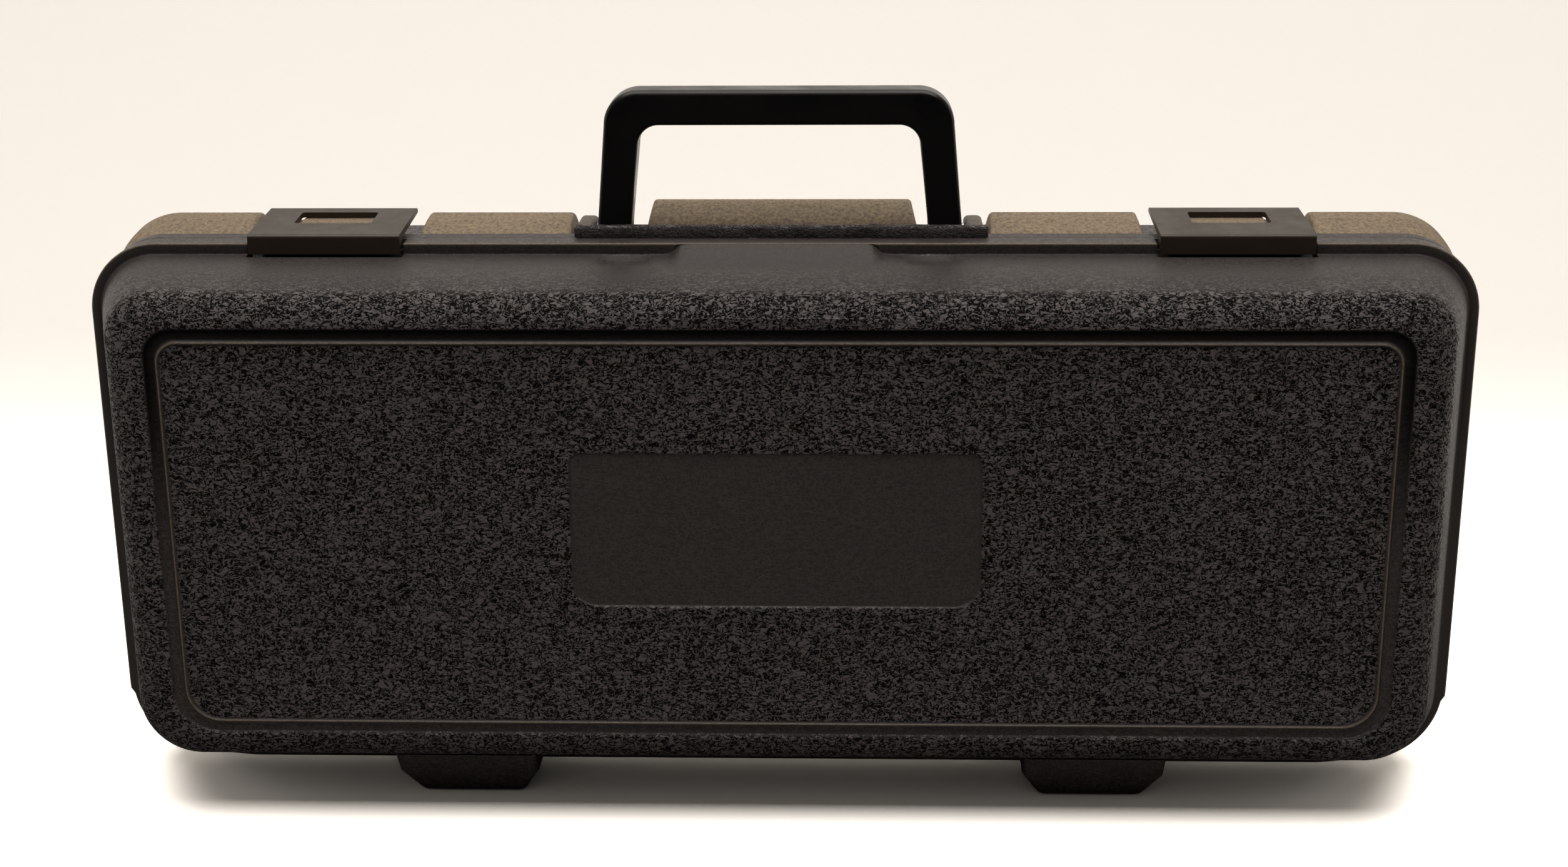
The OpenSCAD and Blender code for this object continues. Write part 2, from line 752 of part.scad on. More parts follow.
// Knuckle of a latch, filled up to the plate and the skirt
module latch_knuckle(x, l) {
    rod(x, l, latch_barrel_r, latch_pin_y, latch_pin_z);
    along_x(x, l)
        polygon([[latch_skirt_y + latch_skirt_t / 2, latch_pin_z - 0.8],
            [latch_pin_y, latch_pin_z - 0.8],
            [latch_pin_y + latch_barrel_r, latch_pin_z],
            [latch_pin_y + latch_barrel_r, latch_under_z + 0.6],
            [latch_skirt_y + latch_skirt_t / 2, latch_under_z + 0.6]]);
}

module latch(x) {
    end_l = (latch_l - latch_mid_l) / 2 - latch_barrel_l - 2 * latch_barrel_gap;
    color([0.1, 0.09, 0.09])
        difference() {
            union() {
                along_x(x, latch_l)
                    latch_side();
                latch_knuckle(x, latch_mid_l);
                for (side = [-1, 1])
                    latch_knuckle(x + side * (latch_l - end_l) / 2, end_l);
            }
            translate([x, window_y + window_d / 2, top_z])
                linear_extrude(height = cut_over)
                    round_rect(window_l, window_d, 1);
            rod(x, latch_l + 2, latch_pin_r + pin_run, latch_pin_y, latch_pin_z);
        }
}

// Shaped lining of the lid, glued to the inside of its face
module lid_liner() {
    g = liner_gap;
    rim = lip_h + lip_gap + 0.6;
    inside = inner_rings(lid_flange_t, flange_step, top_draft, g + liner_t, liner_t, rim);
    outside = inner_rings(lid_flange_t, flange_step, top_draft, g, 0, rim);
    color([0.09, 0.1, 0.2])
        loft(concat(inside, reversed(outside)));
}

// Padded panel in the lid, over the two joints and clear of the bell
module lid_pad() {
    pad_l = bell_x - well_gap - pad_end_x;
    color([0.1, 0.11, 0.22])
        translate([pad_end_x + pad_l / 2, 0, (pad_low_z + pad_high_z) / 2])
            along_y(-liner_d, -liner_d + lid_pad_t)
                round_rect(pad_l, pad_high_z - pad_low_z, pad_corner_r);
}

// Eight-sided well along X whose flats touch a round of radius r0 at x and r1 at x + l
module well(x, l, r0, r1, z) {
    corner = cos(180 / well_sides);
    translate([x, 0, z])
        rotate([0, 90, 0])
            rotate(180 / well_sides)
                cylinder(h = l, r1 = r0 / corner, r2 = r1 / corner, $fn = well_sides);
}

// Radius of the bell's well at share t of its length
function flare(t) = bell_neck_r + (bell_r - bell_neck_r) * pow(t, bell_power);

// Well of the bell: a neck that flares to the mouth
module bell_well() {
    for (k = [1:len(flare_at) - 1])
        let (t = flare_at[k - 1], length = (flare_at[k] - t) * bell_l)
        well(bell_x + t * bell_l, length + (k < len(flare_at) - 1 ? bite / 10 : 0),
            flare(t), flare(flare_at[k]), bell_z);
}

// The tray's foam between x0 and x1, with every well in it
module tray(x0, x1) {
    block = inner_rings(base_flange_t, rear_top_root, rear_top_draft, liner_gap, 0, tray_y);
    scoop_x = well_end_x + 0.52 * lower_l;
    color([0.09, 0.1, 0.2])
        difference() {
            intersection() {
                mirror([0, 1, 0])
                    loft(reversed(block));
                translate([x0 + tray_split / 2, 0, 0])
                    cube([x1 - x0 - tray_split, half_d, top_z]);
            }
            well(well_end_x, lower_l, lower_r, lower_r, lower_z);
            well(barrel_x, barrel_l, barrel_r, barrel_r, lower_z);
            well(well_end_x, upper_l, upper_r, upper_r, upper_z);
            well(well_end_x, mouth_l, mouth_r, mouth_r, mouth_z);
            bell_well();
            translate([box_x + box_l / 2, 0, mouth_z])
                along_y(-cut_over, box_d)
                    round_rect(box_l, box_h, box_r);
            translate([scoop_x, 0, lower_z - lower_r - scoop_reach / 2])
                rotate(180 / well_sides)
                    cylinder(h = 2 * lower_r + scoop_reach, r = scoop_r, $fn = well_sides);
        }
}

base_shell();
tray(-case_l / 2, tray_left_x);  // tray_left
tray(tray_left_x, tray_right_x);  // tray_middle
tray(tray_right_x, case_l / 2);  // tray_right
hinge_pin(-1);  // hinge_pin_left
hinge_pin(1);  // hinge_pin_right
handle_pin(-1);  // handle_pin_left
handle_pin(1);  // handle_pin_right
handle();
lid_shell();
lid_liner();
lid_pad();
latch_pin(-1);  // latch_pin_left
latch_pin(1);  // latch_pin_right
latch(-latch_x);  // latch_left
latch(latch_x);  // latch_right
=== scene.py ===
import math

import bpy
import bmesh
import numpy as np
from mathutils import Matrix, Vector


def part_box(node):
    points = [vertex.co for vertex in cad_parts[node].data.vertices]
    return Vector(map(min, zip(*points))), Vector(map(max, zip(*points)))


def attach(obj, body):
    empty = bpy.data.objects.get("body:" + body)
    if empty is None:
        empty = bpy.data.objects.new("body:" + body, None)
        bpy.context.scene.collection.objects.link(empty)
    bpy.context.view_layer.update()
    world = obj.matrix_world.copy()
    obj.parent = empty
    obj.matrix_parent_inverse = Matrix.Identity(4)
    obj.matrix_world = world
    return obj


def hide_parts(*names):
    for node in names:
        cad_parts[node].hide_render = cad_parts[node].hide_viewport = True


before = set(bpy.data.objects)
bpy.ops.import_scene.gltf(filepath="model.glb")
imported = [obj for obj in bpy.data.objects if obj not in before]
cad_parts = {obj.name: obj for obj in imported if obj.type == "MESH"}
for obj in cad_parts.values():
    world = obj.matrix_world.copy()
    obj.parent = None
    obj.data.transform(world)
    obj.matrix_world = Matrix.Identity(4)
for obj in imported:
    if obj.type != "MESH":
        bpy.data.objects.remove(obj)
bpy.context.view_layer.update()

mm = 0.001


# Reading sizes from the frame, in millimetres

def nodeBox(name):
    low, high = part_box(name)
    return np.array(low) / mm, np.array(high) / mm


lidLow, lidHigh = nodeBox("lid_shell")
baseLow, baseHigh = nodeBox("base_shell")

case = dict(
    length=lidHigh[0] - lidLow[0],   # over the parting flange
    footH=3.5,                       # flange's bottom above the floor
    height=160.0,                    # of the flange
    halfD=46.0,                      # parting plane to the flat faces
    cornerR=20.0, lowR=24.0,         # upper and lower corners of the flange
    wall=3.0,
    rimWall=4.6,
    faceR=9.0,                       # fillet between walls and faces
    sideDraft=18.5, bottomDraft=22.5,   # degrees
    gap=0.4,                         # between the two flanges
    step=3.2,                        # flange beyond the walls
    lipH=2.0, lipT=1.5, lipGap=0.4,  # locating lip inside the lid's rim
    edge=0.7,                        # round on the flange's edges
    nick=0.9,                        # flange steps in below this height at the lower corners
    nickZ=25.0,
)
topZ = case["footH"] + case["height"]
rimIn = case["step"] + case["rimWall"]
innerD = case["halfD"] - case["wall"]
innerR = case["faceR"] - case["wall"]
latchPinY, latchPinZ = -6.0, topZ - 1.6
latchX = case["length"] / 2 - 69.0
footX = case["length"] / 2 - 106.5
hingeZ = 3.3


# Materials

def srgb(hexCode):
    value = [int(hexCode[i:i + 2], 16) / 255 for i in (1, 3, 5)]
    return [*(c / 12.92 if c <= 0.04045 else ((c + 0.055) / 1.055) ** 2.4 for c in value), 1.0]


def addNode(tree, kind, settings, inputs):
    node = tree.nodes.new(kind)
    for name, value in settings.items():
        setattr(node, name, value)
    for name, value in inputs.items():
        if isinstance(value, bpy.types.NodeSocket):
            tree.links.new(value, node.inputs[name])
        else:
            node.inputs[name].default_value = value
    return node


def addRamp(tree, fac, stops):
    node = addNode(tree, "ShaderNodeValToRGB", {}, {"Fac": fac})
    ramp = node.color_ramp
    while len(ramp.elements) < len(stops):
        ramp.elements.new(0.5)
    for element, (place, colour) in zip(ramp.elements, stops):
        element.position = place
        element.color = srgb(colour)
    return node.outputs["Color"]


def newMaterial(name):
    made = bpy.data.materials.new(name)
    made.use_nodes = True
    return made, made.node_tree, made.node_tree.nodes["Principled BSDF"]


def perMetre(sizeMm):
    return 1 / (sizeMm * mm)


grain = dict(
    wrinkle=1.4,      # mm between the wrinkles of the leather grain
    pebble=0.8,       # mm across the pebbles between them
    depth=0.6,        # mm from a pebble's top to the crease beside it
    stipple=0.6,      # mm of the fine stipple on the smoother walls
    stippleDepth=0.05,
    sand=1.0,         # mm of the coarse sand texture on the pads
    sandDepth=0.4,
)


def blend(tree, kind, fac, a, b):
    # Mix of two colours or two numbers, by a socket
    node = addNode(tree, "ShaderNodeMix", {"data_type": kind}, {})
    first = 6 if kind == "RGBA" else 2
    for place, value in ((0, fac), (first, a), (first + 1, b)):
        if isinstance(value, bpy.types.NodeSocket):
            tree.links.new(value, node.inputs[place])
        else:
            node.inputs[place].default_value = value
    return node.outputs[2 if kind == "RGBA" else 0]


def mouldedHdpe(name, pale, dark, smooth, paintedSheen, roughness):
    # Blow-moulded black polyethylene. The mould's leather grain shows as low pebbles in the bump, and the colour
    # paints a highlight along their tops and shade in their creases. Where the mould was left sandy, the bump
    # gives the sand's tooth and the colour paints a brown-grey sheen over it.
    made, tree, shader = newMaterial(name)
    place = addNode(tree, "ShaderNodeTexCoord", {}, {}).outputs["Object"]
    isGrain = addNode(tree, "ShaderNodeAttribute", {"attribute_name": "leatherGrain"}, {}).outputs["Fac"]
    isSandAndSheen = addNode(tree, "ShaderNodeAttribute", {"attribute_name": "sandAndSheen"}, {}).outputs["Fac"]
    recess = addNode(tree, "ShaderNodeAttribute", {"attribute_name": "recess"}, {}).outputs["Fac"]
    stretch = addNode(tree, "ShaderNodeVectorMath", {"operation": "MULTIPLY"}, {0: place, 1: (0.8, 1.0, 1.2)})
    folds = addNode(tree, "ShaderNodeTexNoise", {}, {
        "Vector": stretch.outputs[0], "Scale": perMetre(grain["wrinkle"]), "Detail": 3.0, "Roughness": 0.6,
        "Distortion": 0.9})
    fold = addNode(tree, "ShaderNodeMath", {"operation": "SUBTRACT"}, {0: folds.outputs["Fac"], 1: 0.5})
    ridge = addNode(tree, "ShaderNodeMath", {"operation": "ABSOLUTE"}, {0: fold.outputs[0]})
    wrinkle = addNode(tree, "ShaderNodeMapRange", {"interpolation_type": "SMOOTHSTEP"}, {
        "Value": ridge.outputs[0], "From Min": 0.0, "From Max": 0.09})
    pebbles = addNode(tree, "ShaderNodeTexNoise", {}, {
        "Vector": stretch.outputs[0], "Scale": perMetre(grain["pebble"]), "Detail": 4.0, "Roughness": 0.65})
    leather = addNode(tree, "ShaderNodeMath", {"operation": "MULTIPLY"}, {
        0: wrinkle.outputs[0], 1: pebbles.outputs["Fac"]})
    stipple = addNode(tree, "ShaderNodeTexNoise", {}, {
        "Vector": place, "Scale": perMetre(grain["stipple"]), "Detail": 2.0})
    sand = addNode(tree, "ShaderNodeTexNoise", {}, {
        "Vector": place, "Scale": perMetre(grain["sand"]), "Detail": 5.0, "Roughness": 0.7})

    coarse = addNode(tree, "ShaderNodeMath", {"operation": "MULTIPLY"}, {0: leather.outputs[0], 1: isGrain})
    fine = addNode(tree, "ShaderNodeMath", {"operation": "MULTIPLY_ADD"}, {
        0: stipple.outputs["Fac"], 1: grain["stippleDepth"] / grain["depth"], 2: coarse.outputs[0]})
    rough = addNode(tree, "ShaderNodeMath", {"operation": "MULTIPLY"}, {0: sand.outputs["Fac"], 1: isSandAndSheen})
    height = addNode(tree, "ShaderNodeMath", {"operation": "MULTIPLY_ADD"}, {
        0: rough.outputs[0], 1: grain["sandDepth"] / grain["depth"], 2: fine.outputs[0]})
    bump = addNode(tree, "ShaderNodeBump", {}, {
        "Height": height.outputs[0], "Distance": grain["depth"] * mm, "Strength": 1.0})
    lit = addNode(tree, "ShaderNodeMapRange", {"interpolation_type": "SMOOTHSTEP"}, {
        "Value": leather.outputs[0], "From Min": 0.16, "From Max": 0.5})
    # Painted highlight on the pebbles' tops and painted shade in the creases, set by the grain's height
    shade = addRamp(tree, lit.outputs[0], [(0.0, dark), (1.0, pale)])
    grained = blend(tree, "RGBA", isGrain, srgb(smooth), shade)
    # Painted sheen: a brown-grey speckle where the sand share is set, in place of the pale reflection on sandy tops
    sheenSpeckle = addRamp(tree, sand.outputs["Fac"], [(0.3, paintedSheen[0]), (0.7, paintedSheen[1])])
    withSheen = blend(tree, "RGBA", isSandAndSheen, grained, sheenSpeckle)
    # Painted shade: where the recess share is set, the colour turns to the dark crease colour
    tree.links.new(blend(tree, "RGBA", recess, withSheen, srgb(dark)), shader.inputs["Base Color"])
    # Painted shade: creases and sunk places are given less reflection
    shine = addNode(tree, "ShaderNodeMapRange", {}, {"Value": lit.outputs[0], "To Min": 0.03, "To Max": 0.55})
    level = blend(tree, "FLOAT", isGrain, 0.4, shine.outputs[0])
    tree.links.new(blend(tree, "FLOAT", recess, level, 0.06), shader.inputs["Specular IOR Level"])
    dull = addNode(tree, "ShaderNodeMapRange", {}, {
        "Value": lit.outputs[0], "To Min": roughness + 0.2, "To Max": roughness})
    tree.links.new(blend(tree, "FLOAT", isSandAndSheen, dull.outputs[0], roughness + 0.3), shader.inputs["Roughness"])
    shader.inputs["IOR"].default_value = 1.5
    tree.links.new(bump.outputs["Normal"], shader.inputs["Normal"])
    return made


def satinPlastic(name, colour, roughness, textureMm, depthMm, level):
    # Injection-moulded polypropylene from a spark-eroded mould: even satin, with a very fine stipple.
    made, tree, shader = newMaterial(name)
    place = addNode(tree, "ShaderNodeTexCoord", {}, {}).outputs["Object"]
    stipple = addNode(tree, "ShaderNodeTexNoise", {}, {
        "Vector": place, "Scale": perMetre(textureMm), "Detail": 3.0})
    scuffs = addNode(tree, "ShaderNodeTexNoise", {}, {
        "Vector": place, "Scale": perMetre(14), "Detail": 6.0, "Roughness": 0.7})
    bump = addNode(tree, "ShaderNodeBump", {}, {
        "Height": stipple.outputs["Fac"], "Distance": depthMm * mm, "Strength": 1.0})
    wear = addNode(tree, "ShaderNodeMapRange", {}, {
        "Value": scuffs.outputs["Fac"], "From Min": 0.35, "From Max": 0.7,
        "To Min": roughness - 0.06, "To Max": roughness + 0.1})
    tree.links.new(wear.outputs[0], shader.inputs["Roughness"])
    tree.links.new(bump.outputs["Normal"], shader.inputs["Normal"])
    shader.inputs["Base Color"].default_value = srgb(colour)
    shader.inputs["IOR"].default_value = 1.49
    shader.inputs["Specular IOR Level"].default_value = level
    return made


def drawnSteel(name):
    # Cold-drawn steel pin: bright, with fine lines along its length from the die.
    made, tree, shader = newMaterial(name)
    place = addNode(tree, "ShaderNodeTexCoord", {}, {}).outputs["Object"]
    along = addNode(tree, "ShaderNodeVectorMath", {"operation": "MULTIPLY"}, {0: place, 1: (0.05, 1.0, 1.0)})
    lines = addNode(tree, "ShaderNodeTexNoise", {}, {
        "Vector": along.outputs[0], "Scale": perMetre(0.3), "Detail": 3.0})
    bump = addNode(tree, "ShaderNodeBump", {}, {
        "Height": lines.outputs["Fac"], "Distance": 0.01 * mm, "Strength": 0.6})
    shade = addRamp(tree, lines.outputs["Fac"], [(0.3, "#8f9093"), (0.7, "#c2c3c6")])
    tree.links.new(shade, shader.inputs["Base Color"])
    tree.links.new(bump.outputs["Normal"], shader.inputs["Normal"])
    shader.inputs["Metallic"].default_value = 1.0
    shader.inputs["Roughness"].default_value = 0.32
    return made


def plushLining(name, pale, dark):
    # Short-pile flocked plush: matt and deep, with a soft bright edge where the pile is seen side on,
    # and clouds where the nap has been brushed one way or the other.
    made, tree, shader = newMaterial(name)
    place = addNode(tree, "ShaderNodeTexCoord", {}, {}).outputs["Object"]
    nap = addNode(tree, "ShaderNodeTexNoise", {}, {
        "Vector": place, "Scale": perMetre(22), "Detail": 4.0, "Roughness": 0.6, "Distortion": 0.8})
    pile = addNode(tree, "ShaderNodeTexNoise", {}, {
        "Vector": place, "Scale": perMetre(0.8), "Detail": 2.0})
    mixed = addNode(tree, "ShaderNodeMath", {"operation": "MULTIPLY_ADD"}, {
        0: pile.outputs["Fac"], 1: 0.35, 2: nap.outputs["Fac"]})
    shade = addRamp(tree, mixed.outputs[0], [(0.45, dark), (0.85, pale)])
    bump = addNode(tree, "ShaderNodeBump", {}, {
        "Height": pile.outputs["Fac"], "Distance": 0.25 * mm, "Strength": 0.8})
    tree.links.new(shade, shader.inputs["Base Color"])
    tree.links.new(bump.outputs["Normal"], shader.inputs["Normal"])
    shader.inputs["Roughness"].default_value = 0.95
    shader.inputs["Specular IOR Level"].default_value = 0.1
    shader.inputs["Sheen Weight"].default_value = 0.6
    shader.inputs["Sheen Roughness"].default_value = 0.4
    shader.inputs["Sheen Tint"].default_value = srgb("#7d86b8")
    return made


# pale is a painted highlight on the pebbles, dark a painted shade in creases and sunk places, and the sandy pair a
# painted brown-grey sheen
shellPlastic = mouldedHdpe("black grained polyethylene", "#3c3636", "#050505", "#262120", ("#41372b", "#87765e"), 0.38)
handlePlastic = satinPlastic("black satin polypropylene", "#040404", 0.32, 0.5, 0.02, 0.28)
latchPlastic = satinPlastic("black satin acetal", "#261d15", 0.42, 0.45, 0.03, 0.35)
pinSteel = drawnSteel("drawn steel wire")
plush = plushLining("navy flocked plush", "#2a3157", "#141a33")
print("materials made")


# Mesh helpers. Sizes are in millimetres until the mesh is made.

def newPiece(name, points, faces, body, material):
    mesh = bpy.data.meshes.new(name)
    mesh.from_pydata((np.asarray(points) * mm).tolist(), [], faces)
    made = bpy.data.objects.new(name, mesh)
    bpy.context.scene.collection.objects.link(made)
    mesh.materials.append(material)
    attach(made, body)
    return made


def setAttribute(piece, name, values):
    attribute = piece.data.attributes.new(name, "FLOAT", "POINT")
    attribute.data.foreach_set("value", np.asarray(values, np.float32))


def tidyMesh(piece, angle=35.0, weld=0.004):
    work = bmesh.new()
    work.from_mesh(piece.data)
    bmesh.ops.remove_doubles(work, verts=work.verts, dist=weld * mm)
    bmesh.ops.dissolve_degenerate(work, dist=0.002 * mm, edges=work.edges)
    bmesh.ops.recalc_face_normals(work, faces=work.faces)
    for face in work.faces:
        face.smooth = True
    limit = math.radians(angle)
    for edge in work.edges:
        edge.smooth = len(edge.link_faces) == 2 and edge.calc_face_angle(0) < limit
    work.to_mesh(piece.data)
    work.free()


def smoothStep(t):
    t = np.clip(t, 0, 1)
    return t * t * (3 - 2 * t)


def bumpOver(x, low, high, soft):
    # 1 between low and high, falling to 0 over soft at each end
    return smoothStep((x - low) / soft + 0.5) * smoothStep((high - x) / soft + 0.5)


def denseSteps(low, high, plain, edges, reach=2.0, fine=0.2):
    # Places from low to high, plain apart, and closer together beside each edge
    places = set(np.round(np.linspace(low, high, int((high - low) / plain) + 1), 3))
    places = {p for p in places if all(abs(p - e) > reach for e in edges)}
    near = np.concatenate([np.arange(fine / 2, 1.2, fine), np.arange(1.3, reach, 0.35)])
    for e in edges:
        places.update(np.round(np.concatenate([e - near, e + near]), 3))
    return np.array(sorted(p for p in places if low <= p <= high))


class Outline:
    # Columns round the case: along the top from right to left, round each corner, and back along the bottom
    straight = 155.0      # columns keep their x this far from the middle
    full = 172.0
    cornerSteps = 20
    sideSteps = 44

    def __init__(self, topEdges, bottomEdges):
        ends = np.linspace(self.straight, self.full, 7)[1:]
        spans = []
        for edges in (topEdges, bottomEdges):
            middle = denseSteps(-self.straight, self.straight, 2.5, edges)
            spans.append(np.concatenate([-ends[::-1], middle, ends]))
        turn = np.linspace(0, 90, self.cornerSteps + 1)[1:-1]
        side = np.linspace(0, 1, self.sideSteps)
        parts = [
            (0, spans[0][::-1]), (1, turn), (2, side), (3, turn),
            (4, spans[1]), (5, turn), (6, side[::-1]), (7, turn)]
        self.kind = np.concatenate([np.full(len(t), k) for k, t in parts])
        self.param = np.concatenate([t for k, t in parts])
        self.count = len(self.kind)

    def edgeX(self, u, halfX):
        if halfX < self.straight + 2:
            return u * halfX / self.full
        beyond = (np.abs(u) - self.straight) / (self.full - self.straight) * (halfX - self.straight)
        return np.where(np.abs(u) <= self.straight, u, np.sign(u) * (self.straight + beyond))

    def ring(self, d, side, bottom, top, r, facing, raise_=None, lift=None, tuck=None):
        # One ring at depth d. raise_ and lift add to the top and bottom insets by x, and tuck adds to the
        # inset by height.
        lowR = r + case["lowR"] - case["cornerR"]
        halfX = case["length"] / 2 - side - r
        lowX = case["length"] / 2 - side - lowR
        high = topZ - top - r
        low = case["footH"] + bottom + lowR
        kind, t = self.kind, self.param
        angle = np.radians(t)
        x = np.zeros(self.count)
        z = np.zeros(self.count)
        for k, sx, upper in ((1, -1, True), (3, -1, False), (5, 1, False), (7, 1, True)):
            here = kind == k
            a = angle[here]
            across, up = (np.sin(a), np.cos(a)) if k in (1, 5) else (np.cos(a), np.sin(a))
            x[here] = sx * (halfX + r * across) if upper else sx * (lowX + lowR * across)
            z[here] = high + r * up if upper else low - lowR * up
        for k, end, level in ((0, halfX, high + r), (4, lowX, low - lowR)):
            here = kind == k
            x[here] = self.edgeX(t, end)[here]
            z[here] = level
        for k, sx in ((2, -1), (6, 1)):
            here = kind == k
            x[here] = sx * (halfX + r)
            z[here] = high + (low - high) * t[here]
        if raise_ is not None:
            here = kind == 0
            z[here] = topZ - raise_(x[here], d, top)
        if lift is not None:
            here = kind == 4
            z[here] = np.maximum(z[here], lift(x[here], d))
        if tuck is not None:
            x, z = tuck(x, z)
        return np.stack([x, np.full(self.count, facing * d), z], 1)


def skinRings(rings, attributes, n):
    points = np.concatenate(rings)
    faces = []
    for i in range(len(rings) - 1):
        a = i * n
        for k in range(n):
            b = a + (k + 1) % n
            faces.append((a + k, b, b + n, a + k + n))
    last = n * (len(rings) - 1)
    faces.append(tuple(range(n - 1, -1, -1)))
    faces.append(tuple(range(last, last + n)))
    grainOf = np.repeat([a[0] for a in attributes], n)
    sandAndSheenOf = np.repeat([a[1] for a in attributes], n)
    return points, faces, grainOf, sandAndSheenOf


def wallInset(d, root, t, draft, face, r):
    a = math.radians(draft)
    centre = root + (face - t - r) * math.tan(a) + r / math.cos(a)
    if d <= face - r + r * math.sin(a):
        return root + (d - t) * math.tan(a)
    return centre - math.sqrt(max(0, r * r - (d - face + r) ** 2))


def draftInset(d, thick, t, draft, face, r):
    # Inset of the inside of a wall that starts at the flange's step
    return wallInset(d, case["step"] + thick / math.cos(math.radians(draft)), t, draft, face, r)


cornerDraw = 0.35       # share of a wall's inset by which its corner radius shrinks


def outRadius(inset):
    return case["cornerR"] - case["step"] - cornerDraw * (inset - case["step"])


def inRadius(inset):
    return case["cornerR"] - min(inset, rimIn) - cornerDraw * max(0, inset - rimIn)


def outerSection(d, t, topRoot, topDraft):
    side, bottom, top = (wallInset(d, root, t, draft, case["halfD"], case["faceR"]) for root, draft in (
        (case["step"], case["sideDraft"]), (case["step"], case["bottomDraft"]), (topRoot, topDraft)))
    return d, side, bottom, top, outRadius(side)


def innerSection(d, t, topRoot, topDraft, gap=0.0, off=0.0):
    face, r = innerD - off, innerR - min(off, innerR - 1)
    thick = case["wall"] + gap
    side, bottom = (max(rimIn + gap, draftInset(d, thick, t, draft, face, r))
                    for draft in (case["sideDraft"], case["bottomDraft"]))
    top = max(rimIn + gap, wallInset(d, topRoot + thick, t, topDraft, face, r))
    return d, side, bottom, top, inRadius(side)


def innerSections(t, topRoot, topDraft, gap, off, rim):
    face, r = innerD - off, innerR - min(off, innerR - 1)
    turn = [face - r + r * math.sin(math.radians(a)) for a in (90, 78, 66, 54, 42, 30, case["sideDraft"], 5)]
    return [innerSection(d, t, topRoot, topDraft, gap, off) for d in turn + [30.0, 24.0, 16.0, 10.0, rim]]


def evenSection(d, inset, r=None):
    return d, inset, inset, inset, case["cornerR"] - inset if r is None else r


def flangeSections(t):
    e, face = case["edge"], case["gap"] / 2
    turn = [math.radians(a) for a in (0, 22.5, 45, 67.5, 90)]
    front = [evenSection(face + e - e * math.cos(a), e - e * math.sin(a)) for a in turn]
    back = [evenSection(t - e + e * math.sin(a), e - e * math.cos(a)) for a in turn]
    return front, back


def nickTuck(x, z):
    # The flange's outline steps in a little round each lower corner
    deep = case["nick"] * smoothStep((case["nickZ"] - z) / 0.5 + 0.5)
    deep = deep * smoothStep((np.abs(x) - 160) / 12)
    across = np.clip((np.abs(x) - (case["length"] / 2 - case["lowR"])) / case["lowR"], 0, 1)
    low = np.clip((case["footH"] + case["lowR"] - z) / case["lowR"], 0, 1)
    size = np.maximum(np.hypot(across, low), 1e-6)
    return x - np.sign(x) * deep * across / size, z + deep * low / size


def hingeLift(room, spans):
    # Clearance for the other half's knuckles, cut into the flange's bottom
    def lift(x, d):
        if d >= room:
            return np.full_like(x, -99.0)
        top = hingeZ + math.sqrt(room ** 2 - d ** 2)
        cut = sum(bumpOver(np.abs(x), low, high, 0.3) for low, high in spans)
        return np.where(cut > 0, case["footH"] + (top - case["footH"]) * np.clip(cut, 0, 1), -99.0)
    return lift


# Lid shell

lid = dict(
    flangeT=7.5,
    topDraft=5.0,
    latchSweep=4.2,              # radius cut free round each latch's pin
    latchL=43.5,
    fill=(-29.0, 28.0), fillD=22.5,   # where the step above the top wall is filled
    dimple=(37.5, 49.5), dimpleD=(9.0, 15.0), dimpleDeep=1.0,
    panelSide=26.0, panelBottom=25.7, panelTop=15.1, panelR=8.0,
    grooveW=3.4, grooveD=0.8, beadW=0.9, beadH=0.5,
    labelL=113.0, labelH=44.6, labelZ=65.0, labelDeep=0.5, labelR=3.0,
    knuckleGap=0.4,
)


def lidTop(x, d, inset):
    t, wallTop = lid["flangeT"], case["step"]
    if d >= t:
        # filled step in the middle, sloping down into the wall
        along = (d - t) / (lid["fillD"] - t)
        low = wallTop + (lid["fillD"] - t) * math.tan(math.radians(lid["topDraft"])) + 0.2
        sloped = 0.1 + (low - 0.1) * along
        filled = bumpOver(x, *lid["fill"], 5.0)
        inset = np.where(sloped < inset, inset + (sloped - inset) * filled, inset)
        hollow = bumpOver(np.abs(x), *lid["dimple"], 7.0) * float(bumpOver(d, *lid["dimpleD"], 5.0))
        inset = inset + lid["dimpleDeep"] * hollow
    across = d + latchPinY
    if abs(across) < lid["latchSweep"]:
        floor = topZ - latchPinZ + math.sqrt(lid["latchSweep"] ** 2 - across ** 2)
        cut = bumpOver(np.abs(x), latchX - lid["latchL"] / 2 - 0.5, latchX + lid["latchL"] / 2 + 0.5, 0.25)
        inset = inset + np.maximum(0, floor - inset) * cut
    return inset + np.zeros_like(x)


def panelSection(d, k):
    return (d, lid["panelSide"] + k, lid["panelBottom"] + k, lid["panelTop"] + k, lid["panelR"] - 0.6 * k)


def labelSection(d, k):
    side = case["length"] / 2 - lid["labelL"] / 2 + k
    top = case["height"] - lid["labelZ"] - lid["labelH"] + k
    return d, side, lid["labelZ"] + k, top, max(0.4, lid["labelR"] - k)


class Shell:
    # Sections of a moulded half from its inside round the rim to its face. A plain section is left as it is,
    # a wall takes the shaped top and bottom, and a flange also takes the nick.
    def __init__(self, outline, facing, top, lift):
        self.outline, self.facing, self.top, self.lift = outline, facing, top, lift
        self.rings, self.texture, self.recess = [], [], []

    def put(self, section, leather=0.0, sand=0.0, kind="wall", recess=0.0):
        shaped = {} if kind == "plain" else dict(raise_=self.top, lift=self.lift)
        if kind == "flange":
            shaped["tuck"] = nickTuck
        self.rings.append(self.outline.ring(*section, self.facing, **shaped))
        self.texture.append((leather, sand))
        self.recess.append(recess)

    def make(self, name, body):
        points, faces, grainOf, sandAndSheenOf = skinRings(self.rings, self.texture, self.outline.count)
        made = newPiece(name, points, faces, body, shellPlastic)
        setAttribute(made, "leatherGrain", grainOf)
        setAttribute(made, "sandAndSheen", sandAndSheenOf)
        # Painted shade in sunk places, only on the upper part of the case: none below 75 mm, full above 135 mm
        setAttribute(made, "recess", np.repeat(self.recess, self.outline.count) * smoothStep((points[:, 2] - 75) / 60))
        tidyMesh(made)
        return made


